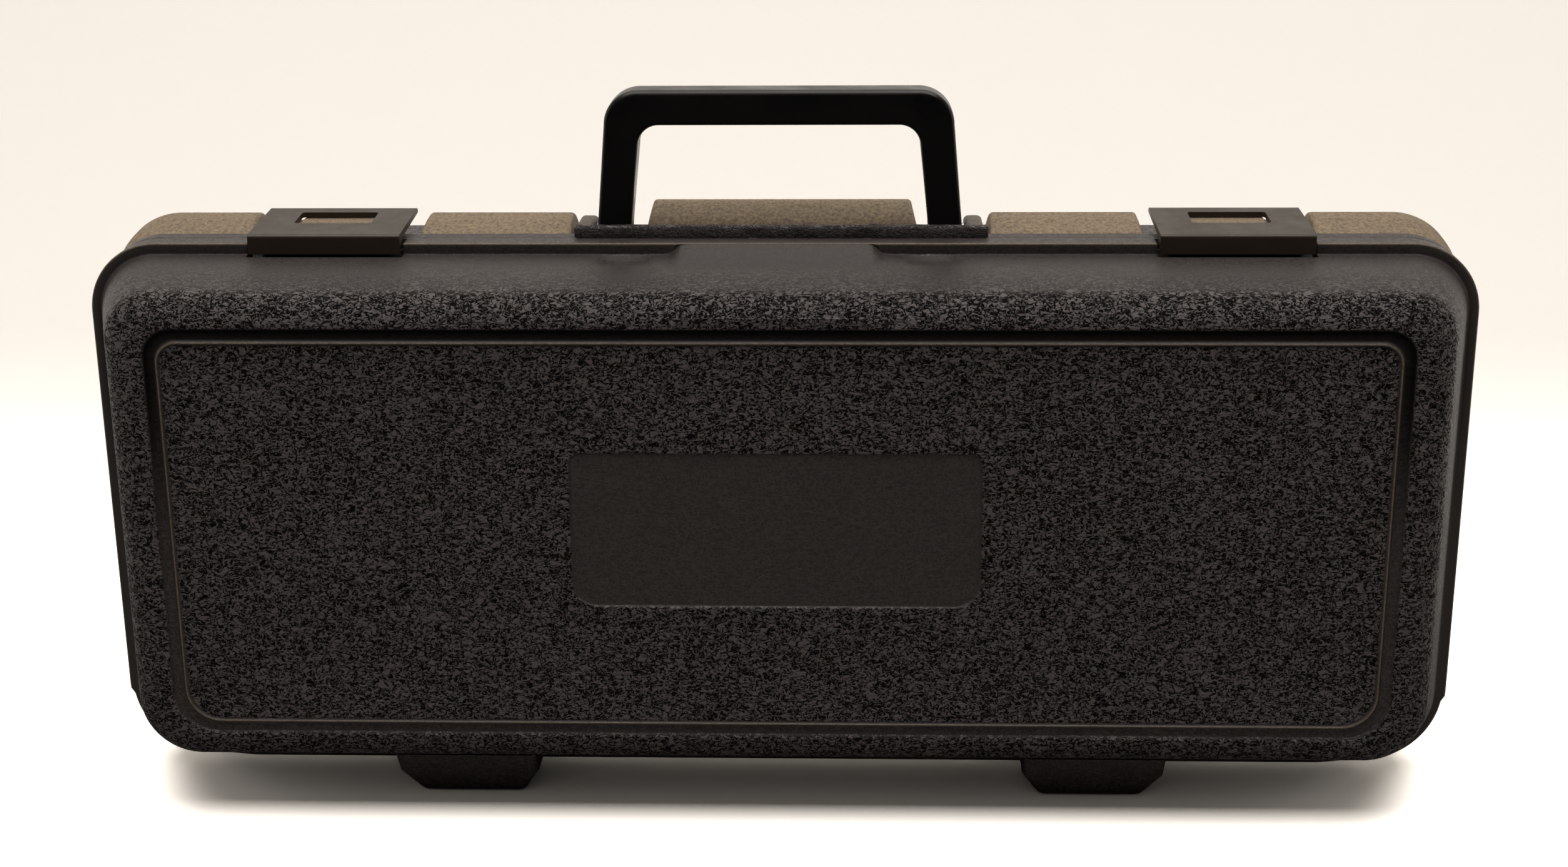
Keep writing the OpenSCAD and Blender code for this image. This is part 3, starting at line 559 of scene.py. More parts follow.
def makeLidShell():
    latchEdges = [s * (latchX + e * (lid["latchL"] / 2 + 0.5)) for s in (-1, 1) for e in (-1, 1)]
    otherEdges = [*lid["fill"], *(s * e for s in (-1, 1) for e in lid["dimple"])]
    knuckles = (footX - 14 - 0.4, footX - 5.0, footX + 5.0, footX + 14.4)
    outline = Outline(latchEdges + otherEdges, [s * e for s in (-1, 1) for e in knuckles])
    lift = hingeLift(3.3, [(knuckles[0], knuckles[1]), (knuckles[2], knuckles[3])])
    t, step = lid["flangeT"], case["step"]
    rebate = rimIn - case["lipT"] - case["lipGap"]
    mouth = case["lipH"] + case["lipGap"]
    shell = Shell(outline, -1, lidTop, lift)
    for s in innerSections(t, step, lid["topDraft"], 0, 0, mouth):
        shell.put(s, kind="plain")
    shell.put(evenSection(mouth, rebate))
    shell.put(evenSection(case["gap"] / 2, rebate))
    front, back = flangeSections(t)
    middle = [evenSection(float(d), 0.0) for d in np.arange(1.6, t - 1.0, 0.45)]
    for s in front + middle:
        shell.put(s, kind="flange")
    for s, edgeHighlight in zip(back, (0.2, 0.45, 0.5, 0.2, 0)):     # painted highlight along the edge
        shell.put(s, sand=edgeHighlight, kind="flange")
    # Painted shade at the step behind the flange
    shell.put(evenSection(t, step - 0.5, outRadius(step - 0.5)), kind="flange", recess=0.5)
    shell.put((t + 0.15, *[step - 0.12] * 3, outRadius(step)), 0.1)
    for d in [*np.arange(t + 0.5, 15.0, 0.5), 17, 19, 21, 23, 25, 27, 29, 31, 33, 35]:
        shell.put(outerSection(float(d), t, step, lid["topDraft"]), 0.05 + 0.35 * float(smoothStep((d - 20) / 15)))
    face, centre = case["halfD"], case["halfD"] - case["faceR"]
    for a in np.linspace(6, 88, 15):
        d = centre + case["faceR"] * math.sin(math.radians(a))
        shell.put(outerSection(d, t, step, lid["topDraft"]), 0.45 + 0.55 * min(1, a / 30))
    g = lid["grooveW"]
    panelD = face - lid["beadH"] + 0.2
    floor = face - lid["grooveD"]
    beadTop, beadEnd = panelD + lid["beadH"], g + lid["beadW"]
    # Groove round the panel: painted shade in the groove, and a painted highlight on the bead's top through the sand
    # share
    for d, k, leather, recess in (
            (face, -0.35, 1, 0), (face - 0.1, -0.05, 0.6, 0.2), (face - 0.4, 0.2, 0.3, 0.8),
            (floor + 0.1, 0.45, 0.2, 1), (floor, 0.8, 0.25, 1), (floor, g / 2, 0.3, 0.9), (floor, g - 0.7, 0.25, 0.8),
            (floor + 0.1, g - 0.35, 0.1, 0.5), (floor + 0.6, g - 0.1, 0, 0.1), (panelD + 0.35, g + 0.08, 0, 0),
            (beadTop, g + 0.3, 0, 0), (beadTop, beadEnd - 0.4, 0, 0), (panelD + 0.3, beadEnd - 0.12, 0, 0.3),
            (panelD + 0.05, beadEnd + 0.1, 0.4, 0.3), (panelD, beadEnd + 0.5, 1, 0)):
        shell.put(panelSection(d, k), leather, 0.4 if d > panelD + 0.4 else 0, "plain", recess)
    deep = panelD - lid["labelDeep"]
    # Painted shade along the label's sunk edge
    for d, k, leather, recess in (
            (panelD, -2.2, 1, 0), (panelD, -0.5, 1, 0), (panelD - 0.06, -0.15, 0.3, 0.2),
            (panelD - 0.22, 0.02, 0.1, 0.4), (deep + 0.12, 0.14, 0.1, 0.3), (deep + 0.02, 0.35, 0.15, 0),
            (deep, 0.9, 0.22, 0)):
        shell.put(labelSection(d, k), leather, 0, "plain", recess)
    return shell.make("lidShell", "lid")


# Rear shell

rear = dict(
    flangeT=6.0,
    topDraft=2.0,
    topRoot=case["step"] + 0.3,
    roomX=52.9, roomY=2.8,       # room behind the ledge, cut into the flange for the handle
    padSide=1.0, padRise=3.0, padCrest=15.0, padLean=12.0,
    padIn=59.2, padOut=105.7, padCorner=152.0,    # ends of the pads beside the handle and of the corner pads
    padEnd=12.7,                 # distance below the top at which a corner pad ends on the side
    padRound=1.3,                # round on the pads' edges
    padDeep=5.5,                 # how far the pads' mesh runs down into the shell
)


def rearTop(x, d, inset):
    room = bumpOver(np.abs(x), -1.0, rear["roomX"], 0.25) if rear["roomY"] <= d <= rear["flangeT"] + 0.1 else 0.0
    return inset + np.maximum(0, rear["topRoot"] - inset) * room


def makeRearShell():
    outline = Outline([s * rear["roomX"] for s in (-1, 1)],
                      [s * e for s in (-1, 1) for e in (footX - 5.0, footX + 5.0)])
    lift = hingeLift(3.3, [(footX - 5.0, footX + 5.0)])
    t, lip, low = rear["flangeT"], rimIn - case["lipT"], -case["lipH"]
    shell = Shell(outline, 1, rearTop, lift)
    for s in innerSections(t, rear["topRoot"], rear["topDraft"], 0, 0, t):
        shell.put(s, kind="plain")
    for s in ((low, rimIn), (low, rimIn - 0.3), (low, lip + 0.3), (low + 0.3, lip), (case["gap"] / 2, lip)):
        shell.put(evenSection(*s), kind="plain")
    front, back = flangeSections(t)
    middle = [evenSection(d, 0.0) for d in (1.3, 2.0, 2.7, rear["roomY"], 3.2, 3.8, 4.4)]
    for s in front + middle + back:
        shell.put(s, kind="flange")
    step = case["step"]
    shell.put((t, step - 0.4, step - 0.4, rear["topRoot"] - 0.4, outRadius(step)), kind="flange")
    shell.put((t + 0.15, step, step, rear["topRoot"], outRadius(step)), 0.1)
    for d in [*np.arange(t + 0.35, t + 2.2, 0.3), 9, 11, 13, 15, 18, 21, 24, 27, 30, 33, 35.5]:
        shell.put(outerSection(float(d), t, rear["topRoot"], rear["topDraft"]), 0.2 + 0.2 * min(1, d / 30))
    face, centre = case["halfD"], case["halfD"] - case["faceR"]
    for a in np.linspace(4, 90, 14):
        d = centre + case["faceR"] * math.sin(math.radians(a))
        shell.put(outerSection(d, t, rear["topRoot"], rear["topDraft"]), 0.4 + 0.6 * min(1, a / 40))
    side = wallInset(face, step, t, case["sideDraft"], face, case["faceR"]) + 6
    shell.put((face, side, side, side, 9.0), 1, kind="plain")
    return shell.make("rearShell", "base")


def padRows():
    # Distance behind the parting plane and rise of each row across the pads, as in the band they share
    crest, rise = rear["padCrest"], rear["padRise"]
    away = [-0.5, 0.6, 3, 0.6 * crest, crest, crest + 3, crest + 5, crest + 6]
    up = [-0.8, -0.2, 0.6, 0.8 * rise, rise, 0.75 * rise, -1, -case["step"] - 2]
    places = np.concatenate([np.linspace(-0.5, 1.2, 5), np.linspace(1.6, crest + 2, 14),
                             np.linspace(crest + 2.5, crest + 6, 9)])
    level = np.array([np.mean(np.interp(p + np.linspace(-0.5, 0.5, 5), away, up)) for p in places])
    return zip(places + rear["flangeT"], np.minimum(level, np.interp(places, away, up)))


def roundDrop(along):
    # How far a pad's surface lies below its level at this distance from its end
    t = np.clip(along / rear["padRound"], 0, 1)
    return rear["padRound"] * (1 - np.sqrt(1 - (1 - t) ** 2))


def rearPadRows():
    # The pad behind the handle, whose front slopes up to its crest
    low = handle["padY"]
    return [(low + away, min(up, handle["padH"])) for away, up in (
        (0, -3.0), (0.3, -1.2), (1, 0.1), (2.5, 1.5), (4.5, 2.8), (7, 4.0), (9.5, 4.8), (12, 5.0), (13.5, 4.7),
        (14.5, 3.6), (15, 1.5))]


def makePad(name, s, start, end, rows):
    # One pad, from start to end along the top, or on round the corner when there is no end
    lean = math.tan(math.radians(rear["padLean"]))
    r = case["cornerR"] - rear["padSide"]
    turnX = case["length"] / 2 - case["cornerR"]
    near = np.array([0, 0.05, 0.2, 0.4, 0.7, 1.0, rear["padRound"]])
    rings = []
    for y, rise in rows:
        tall = max(rear["padDeep"] + rise, 0.3)
        first = start + tall * lean
        last = turnX if end is None else end - tall * lean
        x = np.concatenate([first + near, np.linspace(first + 3, last - 3, 16)])
        drop = roundDrop(x - first)
        if end is None:
            turn = math.degrees(math.asin((r - rise - rear["padEnd"]) / r))
            arc = np.linspace(90, turn, 22)
            away = np.radians(arc - turn) * r
            rim = np.radians(np.concatenate([arc, np.full(4, turn)]))
            rooted = rear["padDeep"] + 4.5      # the end reaches down to the drawn-in side
            inward = np.concatenate([np.minimum(roundDrop(away), tall), np.linspace(1.5, rooted, 4)])
            back = zip(np.radians(np.linspace(turn, 90, 8)[1:]), np.linspace(rooted, rear["padDeep"], 8)[1:])
            outer = [(turnX + (r - i) * math.cos(a), topZ + rise - r + (r - i) * math.sin(a))
                     for a, i in zip(rim, inward)]
            inner = [(turnX + (r - i) * math.cos(a), topZ - r + (r - i) * math.sin(a)) for a, i in back]
        else:
            x = np.concatenate([x, last - near[::-1]])
            drop = np.concatenate([drop, roundDrop(near[::-1])])
            outer, inner = [(end, topZ - rear["padDeep"])], []
        level = np.maximum(topZ + rise - np.minimum(drop, tall), topZ - rear["padDeep"] + 0.05)
        loop = [(start, topZ - rear["padDeep"]), *zip(x, level), *outer, *inner]
        rings.append(np.array([(s * px, y, pz) for px, pz in loop]))
    # The pads take the sand share: sand texture and a painted brown-grey sheen
    points, faces, grainOf, sandAndSheenOf = skinRings(rings, [(0, 1)] * len(rings), len(rings[0]))
    made = newPiece(name, points, faces, "base", shellPlastic)
    setAttribute(made, "leatherGrain", grainOf)
    setAttribute(made, "sandAndSheen", sandAndSheenOf)
    tidyMesh(made, angle=50)
    return made


# Small moulded parts of the shells

def roundedBlock(name, low, high, r, body, material, taper=(0, 0), segments=4, sand=0.0, leather=0.0,
                 rough=0.0, cuts=0):
    # Block between two corners with rounded edges. taper draws the top in along x and y.
    low, high = np.array(low, float), np.array(high, float)
    made = newPiece(name, np.zeros((0, 3)), [], body, material)
    work = bmesh.new()
    bmesh.ops.create_cube(work, size=1)
    for v in work.verts:
        share = v.co.z + 0.5
        place = low + (high - low) * (np.array(v.co) + 0.5)
        for axis in (0, 1):
            place[axis] -= 2 * v.co[axis] * taper[axis] * share
        v.co = Vector(place * mm)
    bmesh.ops.bevel(work, geom=work.edges, offset=r * mm, segments=segments, profile=0.5, affect="EDGES")
    if cuts:
        long = [e for e in work.edges if e.calc_length() > 6 * r * mm]
        bmesh.ops.subdivide_edges(work, edges=long, cuts=cuts, use_grid_fill=True)
        rng = np.random.default_rng(7)
        for v in work.verts:
            v.co += Vector(rng.normal(0, rough * mm, 3))
    for face in work.faces:
        face.smooth = True
    work.to_mesh(made.data)
    work.free()
    count = len(made.data.vertices)
    setAttribute(made, "leatherGrain", np.full(count, leather))
    setAttribute(made, "sandAndSheen", np.full(count, sand))
    return made


def joinInto(main, others):
    with bpy.context.temp_override(active_object=main, selected_editable_objects=[main, *others],
                                   selected_objects=[main, *others], object=main):
        bpy.ops.object.join()
    return main


foot = dict(topL=41.0, bottomL=29.5, taperH=10.0, inner=6.6, outer=21.5, slopeD=37.0, wallZ=18.8, cornerR=2.2,
            edge=0.6)


def makeFoot(name, x, facing, body):
    # Trapezoid foot whose front runs up into the shell's bottom wall
    def outerY(z):
        places = [0, 0.9, 2.4, foot["wallZ"]]
        depths = [foot["outer"], foot["outer"] + 2.5, foot["outer"] + 4, foot["slopeD"]]
        return float(np.interp(z, places, depths))

    rings = []
    steps = 6
    levels = [0, 0.12, 0.35, 0.7, 1.2, 1.8, 2.6, 4, 6, 8, 9.4, 10, 10.6, 12, 14, 16, 18]
    for z in levels:
        draw = foot["edge"] * (1 - math.sqrt(1 - max(0, 1 - z / foot["edge"]) ** 2)) if z < foot["edge"] else 0
        half = (foot["bottomL"] + (foot["topL"] - foot["bottomL"]) * min(1, z / foot["taperH"])) / 2 - draw
        near, far = foot["inner"] + draw, outerY(z) - draw
        r = foot["cornerR"]
        ring = []
        for cx, cy, start in ((half - r, far - r, 0), (-half + r, far - r, 90), (-half + r, near + r, 180),
                              (half - r, near + r, 270)):
            for k in range(steps + 1):
                a = math.radians(start + 90 * k / steps)
                ring.append((x + cx + r * math.cos(a), facing * (cy + r * math.sin(a)), z))
        rings.append(np.array(ring))
    n = len(rings[0])
    points, faces, grainOf, sandAndSheenOf = skinRings(rings, [(0.25, 0)] * len(rings), n)
    made = newPiece(name, points, faces, body, shellPlastic)
    setAttribute(made, "leatherGrain", grainOf)
    setAttribute(made, "sandAndSheen", sandAndSheenOf)
    tidyMesh(made, angle=50)
    return made


def makeRod(name, x, length, r, y, z, body, material, edge=0.15, sides=40):
    turn = np.linspace(0, 2 * math.pi, sides, endpoint=False)
    stations = [(-length / 2, r - edge), (-length / 2 + edge * 0.4, r - edge * 0.3), (-length / 2 + edge, r)]
    stations += [(-a, b) for a, b in stations[::-1]]
    rings = [np.stack([np.full(sides, x + a), y + b * np.cos(turn), z + b * np.sin(turn)], 1)
             for a, b in stations]
    points, faces, grainOf, sandAndSheenOf = skinRings(rings, [(0, 0)] * len(rings), sides)
    made = newPiece(name, points, faces, body, material)
    setAttribute(made, "leatherGrain", grainOf)
    setAttribute(made, "sandAndSheen", sandAndSheenOf)
    tidyMesh(made, angle=50)
    return made


handle = dict(
    length=105.0, topLength=99.6, height=41.5, gripH=10.0, leg=9.6, depth=11.0,
    outerR=10.0, innerR=6.0, edge=1.6, frontY=3.2, pivotBack=3.2, gap=0.4, lugL=5.8, ledgeH=3.4,
    padH=5.0, padY=18.0,
)
pivotY = handle["frontY"] + handle["depth"] - handle["pivotBack"]
slotZ = topZ - case["step"] - 0.3
pivotZ = slotZ + handle["pivotBack"] + 0.7


def makeLidFittings(shell):
    others = []
    for s in (-1, 1):
        others.append(makeFoot("lidFoot", s * footX, -1, "lid"))
        others.append(makeRod("lidKnuckle", s * footX, 9.2, 2.9, 0, hingeZ, "lid", shellPlastic, 0.3))
        for side in (-1, 1):
            bx = s * latchX + side * (7 + 0.3 + 3.5)
            others.append(makeRod("latchBarrel", bx, 7.0, 1.7, latchPinY, latchPinZ, "lid", shellPlastic))
            others.append(roundedBlock("barrelWeb", (bx - 3.5, latchPinY, latchPinZ - 1.5),
                                       (bx + 3.5, latchPinY + 4.7, topZ - 0.1), 0.2, "lid", shellPlastic,
                                       segments=2))
    return joinInto(shell, others)


def makeRearFittings(shell):
    others = []
    lugX = handle["length"] / 2 + handle["gap"]
    lugEnd = lugX + handle["lugL"]
    for s in (-1, 1):
        others.append(makeFoot("rearFoot", s * footX, 1, "base"))
        for side in (-1, 1):
            others.append(makeRod("rearKnuckle", s * footX + side * 9.5, 9.0, 2.9, 0, hingeZ, "base",
                                  shellPlastic, 0.3))
        # The boss takes the sand share: sand texture and a painted brown-grey sheen
        others.append(roundedBlock("latchBoss", (s * latchX - 11.1, 3.8, slotZ - 0.5),
                                   (s * latchX + 11.1, 18.5, topZ + 2.5), 0.7, "base", shellPlastic,
                                   sand=1.0))
        others.append(makePad("innerPad", s, rear["padIn"], rear["padOut"], padRows()))
        others.append(makePad("cornerPad", s, rear["padCorner"], None, padRows()))
        # Wider root of the boss, under the latch plate
        others.append(roundedBlock("bossRoot", (s * latchX - 17.5, 8.0, slotZ - 0.5),
                                   (s * latchX + 17.5, 18.1, topZ + 1.5), 0.5, "base", shellPlastic))
        # The lug takes some sand share: sand texture and a painted sheen
        others.append(roundedBlock("handleLug", (s * (lugX + lugEnd) / 2 - 2.9, 0.6, slotZ - 0.5),
                                   (s * (lugX + lugEnd) / 2 + 2.9, pivotY + 6.0, topZ + 3.3), 1.4, "base",
                                   shellPlastic, sand=0.3, taper=(0.3, 0.5)))
    ledge = roundedBlock("handleLedge", (-lugEnd, 0.3, slotZ - 0.5),
                         (lugEnd + 1.0, handle["frontY"] - handle["gap"], topZ + handle["ledgeH"]), 1.1,
                         "base", shellPlastic, leather=0.4, cuts=40, rough=0.08)
    # Painted shadow under the ledge: its low part is turned dark by the recess share
    heights = np.array([v.co.z / mm - topZ for v in ledge.data.vertices])
    setAttribute(ledge, "recess", smoothStep((2.1 - heights) / 0.8))
    others.append(ledge)
    halfPad = handle["topLength"] / 2 - handle["leg"] + handle["gap"]
    others.append(makePad("rearPad", 1, -halfPad, halfPad, rearPadRows()))
    return joinInto(shell, others)


lidShell = makeLidShell()
makeLidFittings(lidShell)
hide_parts("lid_shell")
rearShell = makeRearShell()
makeRearFittings(rearShell)
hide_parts("base_shell")
print("shells made")


# Handle

def handlePath(e, steps=14):
    # Outer and inner edge of the handle in xz, drawn in by e, from the right leg's foot over to the left
    out, inner = [], []
    low = pivotZ
    highZ = topZ + handle["height"]
    for k in range(7):
        share = k / 7
        topOutX, topOutZ = handle["topLength"] / 2 - e, highZ - handle["outerR"]
        topInX, topInZ = handle["topLength"] / 2 - handle["leg"] + e, highZ - handle["gripH"] - handle["innerR"]
        out.append((handle["length"] / 2 - e + (topOutX - handle["length"] / 2 + e) * share,
                    low + (topOutZ - low) * share))
        inner.append((handle["length"] / 2 - handle["leg"] + e
                      + (topInX - handle["length"] / 2 + handle["leg"] - e) * share,
                      low + (topInZ - low) * share))
    for k in range(steps + 1):
        a = math.radians(90 * k / steps)
        out.append((handle["topLength"] / 2 - handle["outerR"] + (handle["outerR"] - e) * math.cos(a),
                    highZ - handle["outerR"] + (handle["outerR"] - e) * math.sin(a)))
        inner.append((handle["topLength"] / 2 - handle["leg"] - handle["innerR"]
                      + (handle["innerR"] + e) * math.cos(a),
                      highZ - handle["gripH"] - handle["innerR"] + (handle["innerR"] + e) * math.sin(a)))
    out += [(-x, z) for x, z in out[::-1]]
    inner += [(-x, z) for x, z in inner[::-1]]
    return np.array(out), np.array(inner)


def legBottom(y):
    # Height of a leg's lower end beside its pivot: round at the back, cut back at the front
    off = y - pivotY
    back = handle["pivotBack"]
    if off > -2.2:
        return pivotZ - math.sqrt(max(0, back ** 2 - off ** 2))
    return pivotZ + np.interp(off, [-7.8, -2.2], [1.0, -2.3])


def makeHandle():
    e, front, back = handle["edge"], handle["frontY"], handle["frontY"] + handle["depth"]
    turn = [math.radians(a) for a in range(90, -1, -15)]
    edges = [(front + e - e * math.sin(a), e - e * math.cos(a)) for a in turn]
    edges += [(y, 0.0) for y in np.linspace(front + e, back - e, 5)[1:-1]]
    edges += [(back - e + e * math.sin(a), e - e * math.cos(a)) for a in turn[::-1]]
    paths = [handlePath(inset) for y, inset in edges]
    count = len(paths[0][0])
    rings = []
    for i in range(count):
        ring = []
        for (y, inset), (out, inner) in [*zip(edges, paths)]:
            z = legBottom(y) if i in (0, count - 1) else out[i][1]
            ring.append((out[i][0], y, z))
        for (y, inset), (out, inner) in [*zip(edges, paths)][::-1]:
            z = legBottom(y) if i in (0, count - 1) else inner[i][1]
            ring.append((inner[i][0], y, z))
        rings.append(np.array(ring))
    n = len(rings[0])
    points, faces, grainOf, sandAndSheenOf = skinRings(rings, [(0, 0)] * count, n)
    faces = faces[:-2]
    last = n * (count - 1)
    half = len(edges)
    for start in (0, last):
        for k in range(half - 1):
            quad = (start + k, start + k + 1, start + n - 2 - k, start + n - 1 - k)
            faces.append(quad)
    made = newPiece("handleGrip", points, faces, "handle", handlePlastic)
    tidyMesh(made, angle=40)
    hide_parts("handle")
    return made


makeHandle()
print("handle made")


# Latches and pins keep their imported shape, with softened edges

def softenEdges(node, material, width, angle):
    node.data.materials.clear()
    node.data.materials.append(material)
    weld = node.modifiers.new("weld", "WELD")
    weld.merge_threshold = 0.005 * mm
    bevel = node.modifiers.new("soft edges", "BEVEL")
    bevel.width = width * mm
    bevel.segments = 3
    bevel.limit_method = "ANGLE"
    bevel.angle_limit = math.radians(angle)
    bevel.harden_normals = False
    node.modifiers.new("even shading", "WEIGHTED_NORMAL")
    for polygon in node.data.polygons:
        polygon.use_smooth = True


for name in ("latch_left", "latch_right"):
    softenEdges(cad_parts[name], latchPlastic, 0.3, 35)
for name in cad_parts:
    if "_pin_" in name:
        softenEdges(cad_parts[name], pinSteel, 0.1, 40)
print("latches and pins finished")


# Lining

lining = dict(
    gap=0.3, thick=1.6, trayY=1.0,
    lowerR=21.0, lowerL=268.0, upperR=18.5, upperL=242.0, barrelR=18.5, barrelL=74.0,
    mouthR=16.5, mouthL=98.0, bellR=40.5, bellL=108.0, boxD=28.0, wellWall=6.0, wellGap=10.0,
    soft=2.2,        # round that the plush gives to a well's edge
    cell=1.5,        # mm between points of the tray's surface
)


def wellDepths(x, z):
    # Depth of the tray's surface below its top at each point
    p = lining
    endX = -(case["length"] / 2 - rimIn - p["gap"] - p["wellGap"])
    topEdge = topZ - rimIn - p["gap"]
    lowEdge = case["footH"] + rimIn + p["gap"]
    lowerZ = topEdge - p["wellWall"] - p["lowerR"]
    upperZ = lowEdge + 4 + p["upperR"]
    mouthZ = (lowerZ - p["lowerR"] + upperZ + p["upperR"]) / 2
    bellZ = lowEdge + 5 + p["bellR"]
    bellX = endX + p["upperL"] + p["wellGap"]
    barrelX = endX + p["lowerL"] + p["wellGap"]

    def halfRound(x0, x1, zc, r):
        t = np.clip((x - x0) / max(x1 - x0, 1e-6), 0, 1)
        radius = r(t) if callable(r) else r
        depth = np.sqrt(np.maximum(0, radius ** 2 - (z - zc) ** 2))
        ends = np.minimum(smoothStep((x - x0) / 1.2 + 0.5), smoothStep((x1 - x) / 1.2 + 0.5))
        return depth * ends

    def slot(x0, x1, z0, z1, deep, r, soft=1.6):
        dx = np.maximum(np.abs(x - (x0 + x1) / 2) - (x1 - x0) / 2 + r, 0)
        dz = np.maximum(np.abs(z - (z0 + z1) / 2) - (z1 - z0) / 2 + r, 0)
        return deep * smoothStep((r - np.hypot(dx, dz)) / soft)

    flare = lambda t: p["upperR"] + (p["bellR"] - p["upperR"]) * t ** 2.2
    boxX = endX + p["mouthL"] + p["wellGap"]
    boxH = lowerZ - p["lowerR"] - upperZ - p["upperR"] - 2 * p["wellWall"] - 4
    scoopX = endX + 0.52 * p["lowerL"]
    fingers = slot(scoopX - 14, scoopX + 14, lowerZ - p["lowerR"] - 4.5, lowerZ + p["lowerR"] + 4.5, 14, 13.9, 9)
    return np.maximum.reduce([
        halfRound(endX, endX + p["lowerL"], lowerZ, p["lowerR"]),
        halfRound(barrelX, barrelX + p["barrelL"], lowerZ, p["barrelR"]),
        halfRound(endX, endX + p["upperL"], upperZ, p["upperR"]),
        halfRound(endX, endX + p["mouthL"], mouthZ, p["mouthR"]),
        halfRound(bellX, bellX + p["bellL"], bellZ, flare),
        slot(boxX, bellX - p["wellGap"] - 4, mouthZ - boxH / 2, mouthZ + boxH / 2, p["boxD"] - 1, 6),
        fingers])


def makeTray():
    p = lining
    inset = rimIn + p["gap"]
    halfX = case["length"] / 2 - inset
    low, high = case["footH"] + inset, topZ - inset
    nx, nz = int(2 * halfX / p["cell"]), int((high - low) / p["cell"])
    z = np.linspace(low, high, nz + 1)
    # Each row ends on the rounded outline of the opening
    upper = z > (low + high) / 2
    r = np.where(upper, case["cornerR"], case["lowR"]) - inset
    end = np.maximum(0, np.where(upper, z - high, low - z) + r)
    rowHalf = halfX - r + np.sqrt(np.maximum(0, r ** 2 - end ** 2))
    u = np.linspace(-1, 1, nx + 1)
    gridX = u[None, :] * rowHalf[:, None]
    gridZ = np.repeat(z[:, None], nx + 1, 1)
    deep = wellDepths(gridX, gridZ)
    for _ in range(3):     # the plush bridges sharp edges
        near = np.pad(deep, 1, mode="edge")
        deep = (near[1:-1, :-2] + near[1:-1, 2:] + near[:-2, 1:-1] + near[2:, 1:-1] + 2 * deep) / 6
    edge = np.minimum(rowHalf[:, None] - np.abs(gridX), np.minimum(gridZ - low, high - gridZ))
    deep = deep + 1.4 * (1 - smoothStep(edge / 2.5))
    top = np.stack([gridX, p["trayY"] + deep, gridZ], 2).reshape(-1, 3)
    cols, rows = nx + 1, nz + 1
    faces = [(j * cols + i, j * cols + i + 1, (j + 1) * cols + i + 1, (j + 1) * cols + i)
             for j in range(rows - 1) for i in range(cols - 1)]
    rim = [i for i in range(cols)] + [j * cols + cols - 1 for j in range(1, rows)]
    rim += [(rows - 1) * cols + i for i in range(cols - 2, -1, -1)] + [j * cols for j in range(rows - 2, 0, -1)]
    points = [top]
    count = len(top)
    edgePoints = top[rim]
    previous = rim
    # Depth, share of the width, and how far the block draws in below and above, inside the drafted shell
    for d, share, below, above in ((8.8, 1.0, 0, 0), (24.0, 0.955, 6.6, 4.3), (38.0, 0.921, 12.6, 7.5),
                                   (42.4, 0.903, 16.2, 9.3)):
        ring = edgePoints.copy()
        ring[:, 0] *= share
        ring[:, 2] = np.interp(ring[:, 2], (low, high), (low + below, high - above))
        ring[:, 1] = d
        points.append(ring)
        here = list(range(count, count + len(rim)))
        count += len(rim)
        for k in range(len(rim)):
            m = (k + 1) % len(rim)
            faces.append((previous[k], previous[m], here[m], here[k]))
        previous = here
    faces.append(tuple(previous))
    whole = newPiece("trayPlush", np.concatenate(points), faces, "base", plush)
    tidyMesh(whole, angle=60)
    return whole


def splitTray(whole):
    # The three blocks meet in thin gaps, each closed by a flat side
    edges = [-case["length"] / 2, *(nodeBox(name)[0][0] - 0.1 for name in ("tray_middle", "tray_right")),
             case["length"] / 2]
    for name, x0, x1 in zip(("tray_left", "tray_middle", "tray_right"), edges, edges[1:]):
        piece = newPiece(name + "Plush", np.zeros((0, 3)), [], "base", plush)
        work = bmesh.new()
        work.from_mesh(whole.data)
        for x, side in ((x0 + 0.1, -1), (x1 - 0.1, 1)):
            cut = bmesh.ops.bisect_plane(work, geom=[*work.verts, *work.edges, *work.faces],
                                         plane_co=(x * mm, 0, 0), plane_no=(side, 0, 0), clear_outer=True)
            rim = [e for e in cut["geom_cut"] if isinstance(e, bmesh.types.BMEdge)]
            if rim:
                bmesh.ops.contextual_create(work, geom=rim)
        work.to_mesh(piece.data)
        work.free()
        tidyMesh(piece, angle=60)
        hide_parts(name)
    bpy.data.objects.remove(whole)


def makeLidLining():
    outline = Outline([], [])
    t = lid["flangeT"]
    rim = case["lipH"] + case["lipGap"] + 0.6
    inside = innerSections(t, case["step"], lid["topDraft"], lining["gap"] + lining["thick"], lining["thick"], rim)
    outside = innerSections(t, case["step"], lid["topDraft"], lining["gap"], 0, rim)
    last = inside[-1]
    roll = [(rim - 0.25, last[1] - 0.4, last[2] - 0.4, last[3] - 0.4, last[4] + 0.4)]
    rings = [outline.ring(*s, -1) for s in inside + roll + outside[::-1]]
    points, faces, grainOf, sandAndSheenOf = skinRings(rings, [(0, 0)] * len(rings), outline.count)
    made = newPiece("lidLining", points, faces, "lid", plush)
    tidyMesh(made, angle=60)
    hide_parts("lid_liner")
    return made


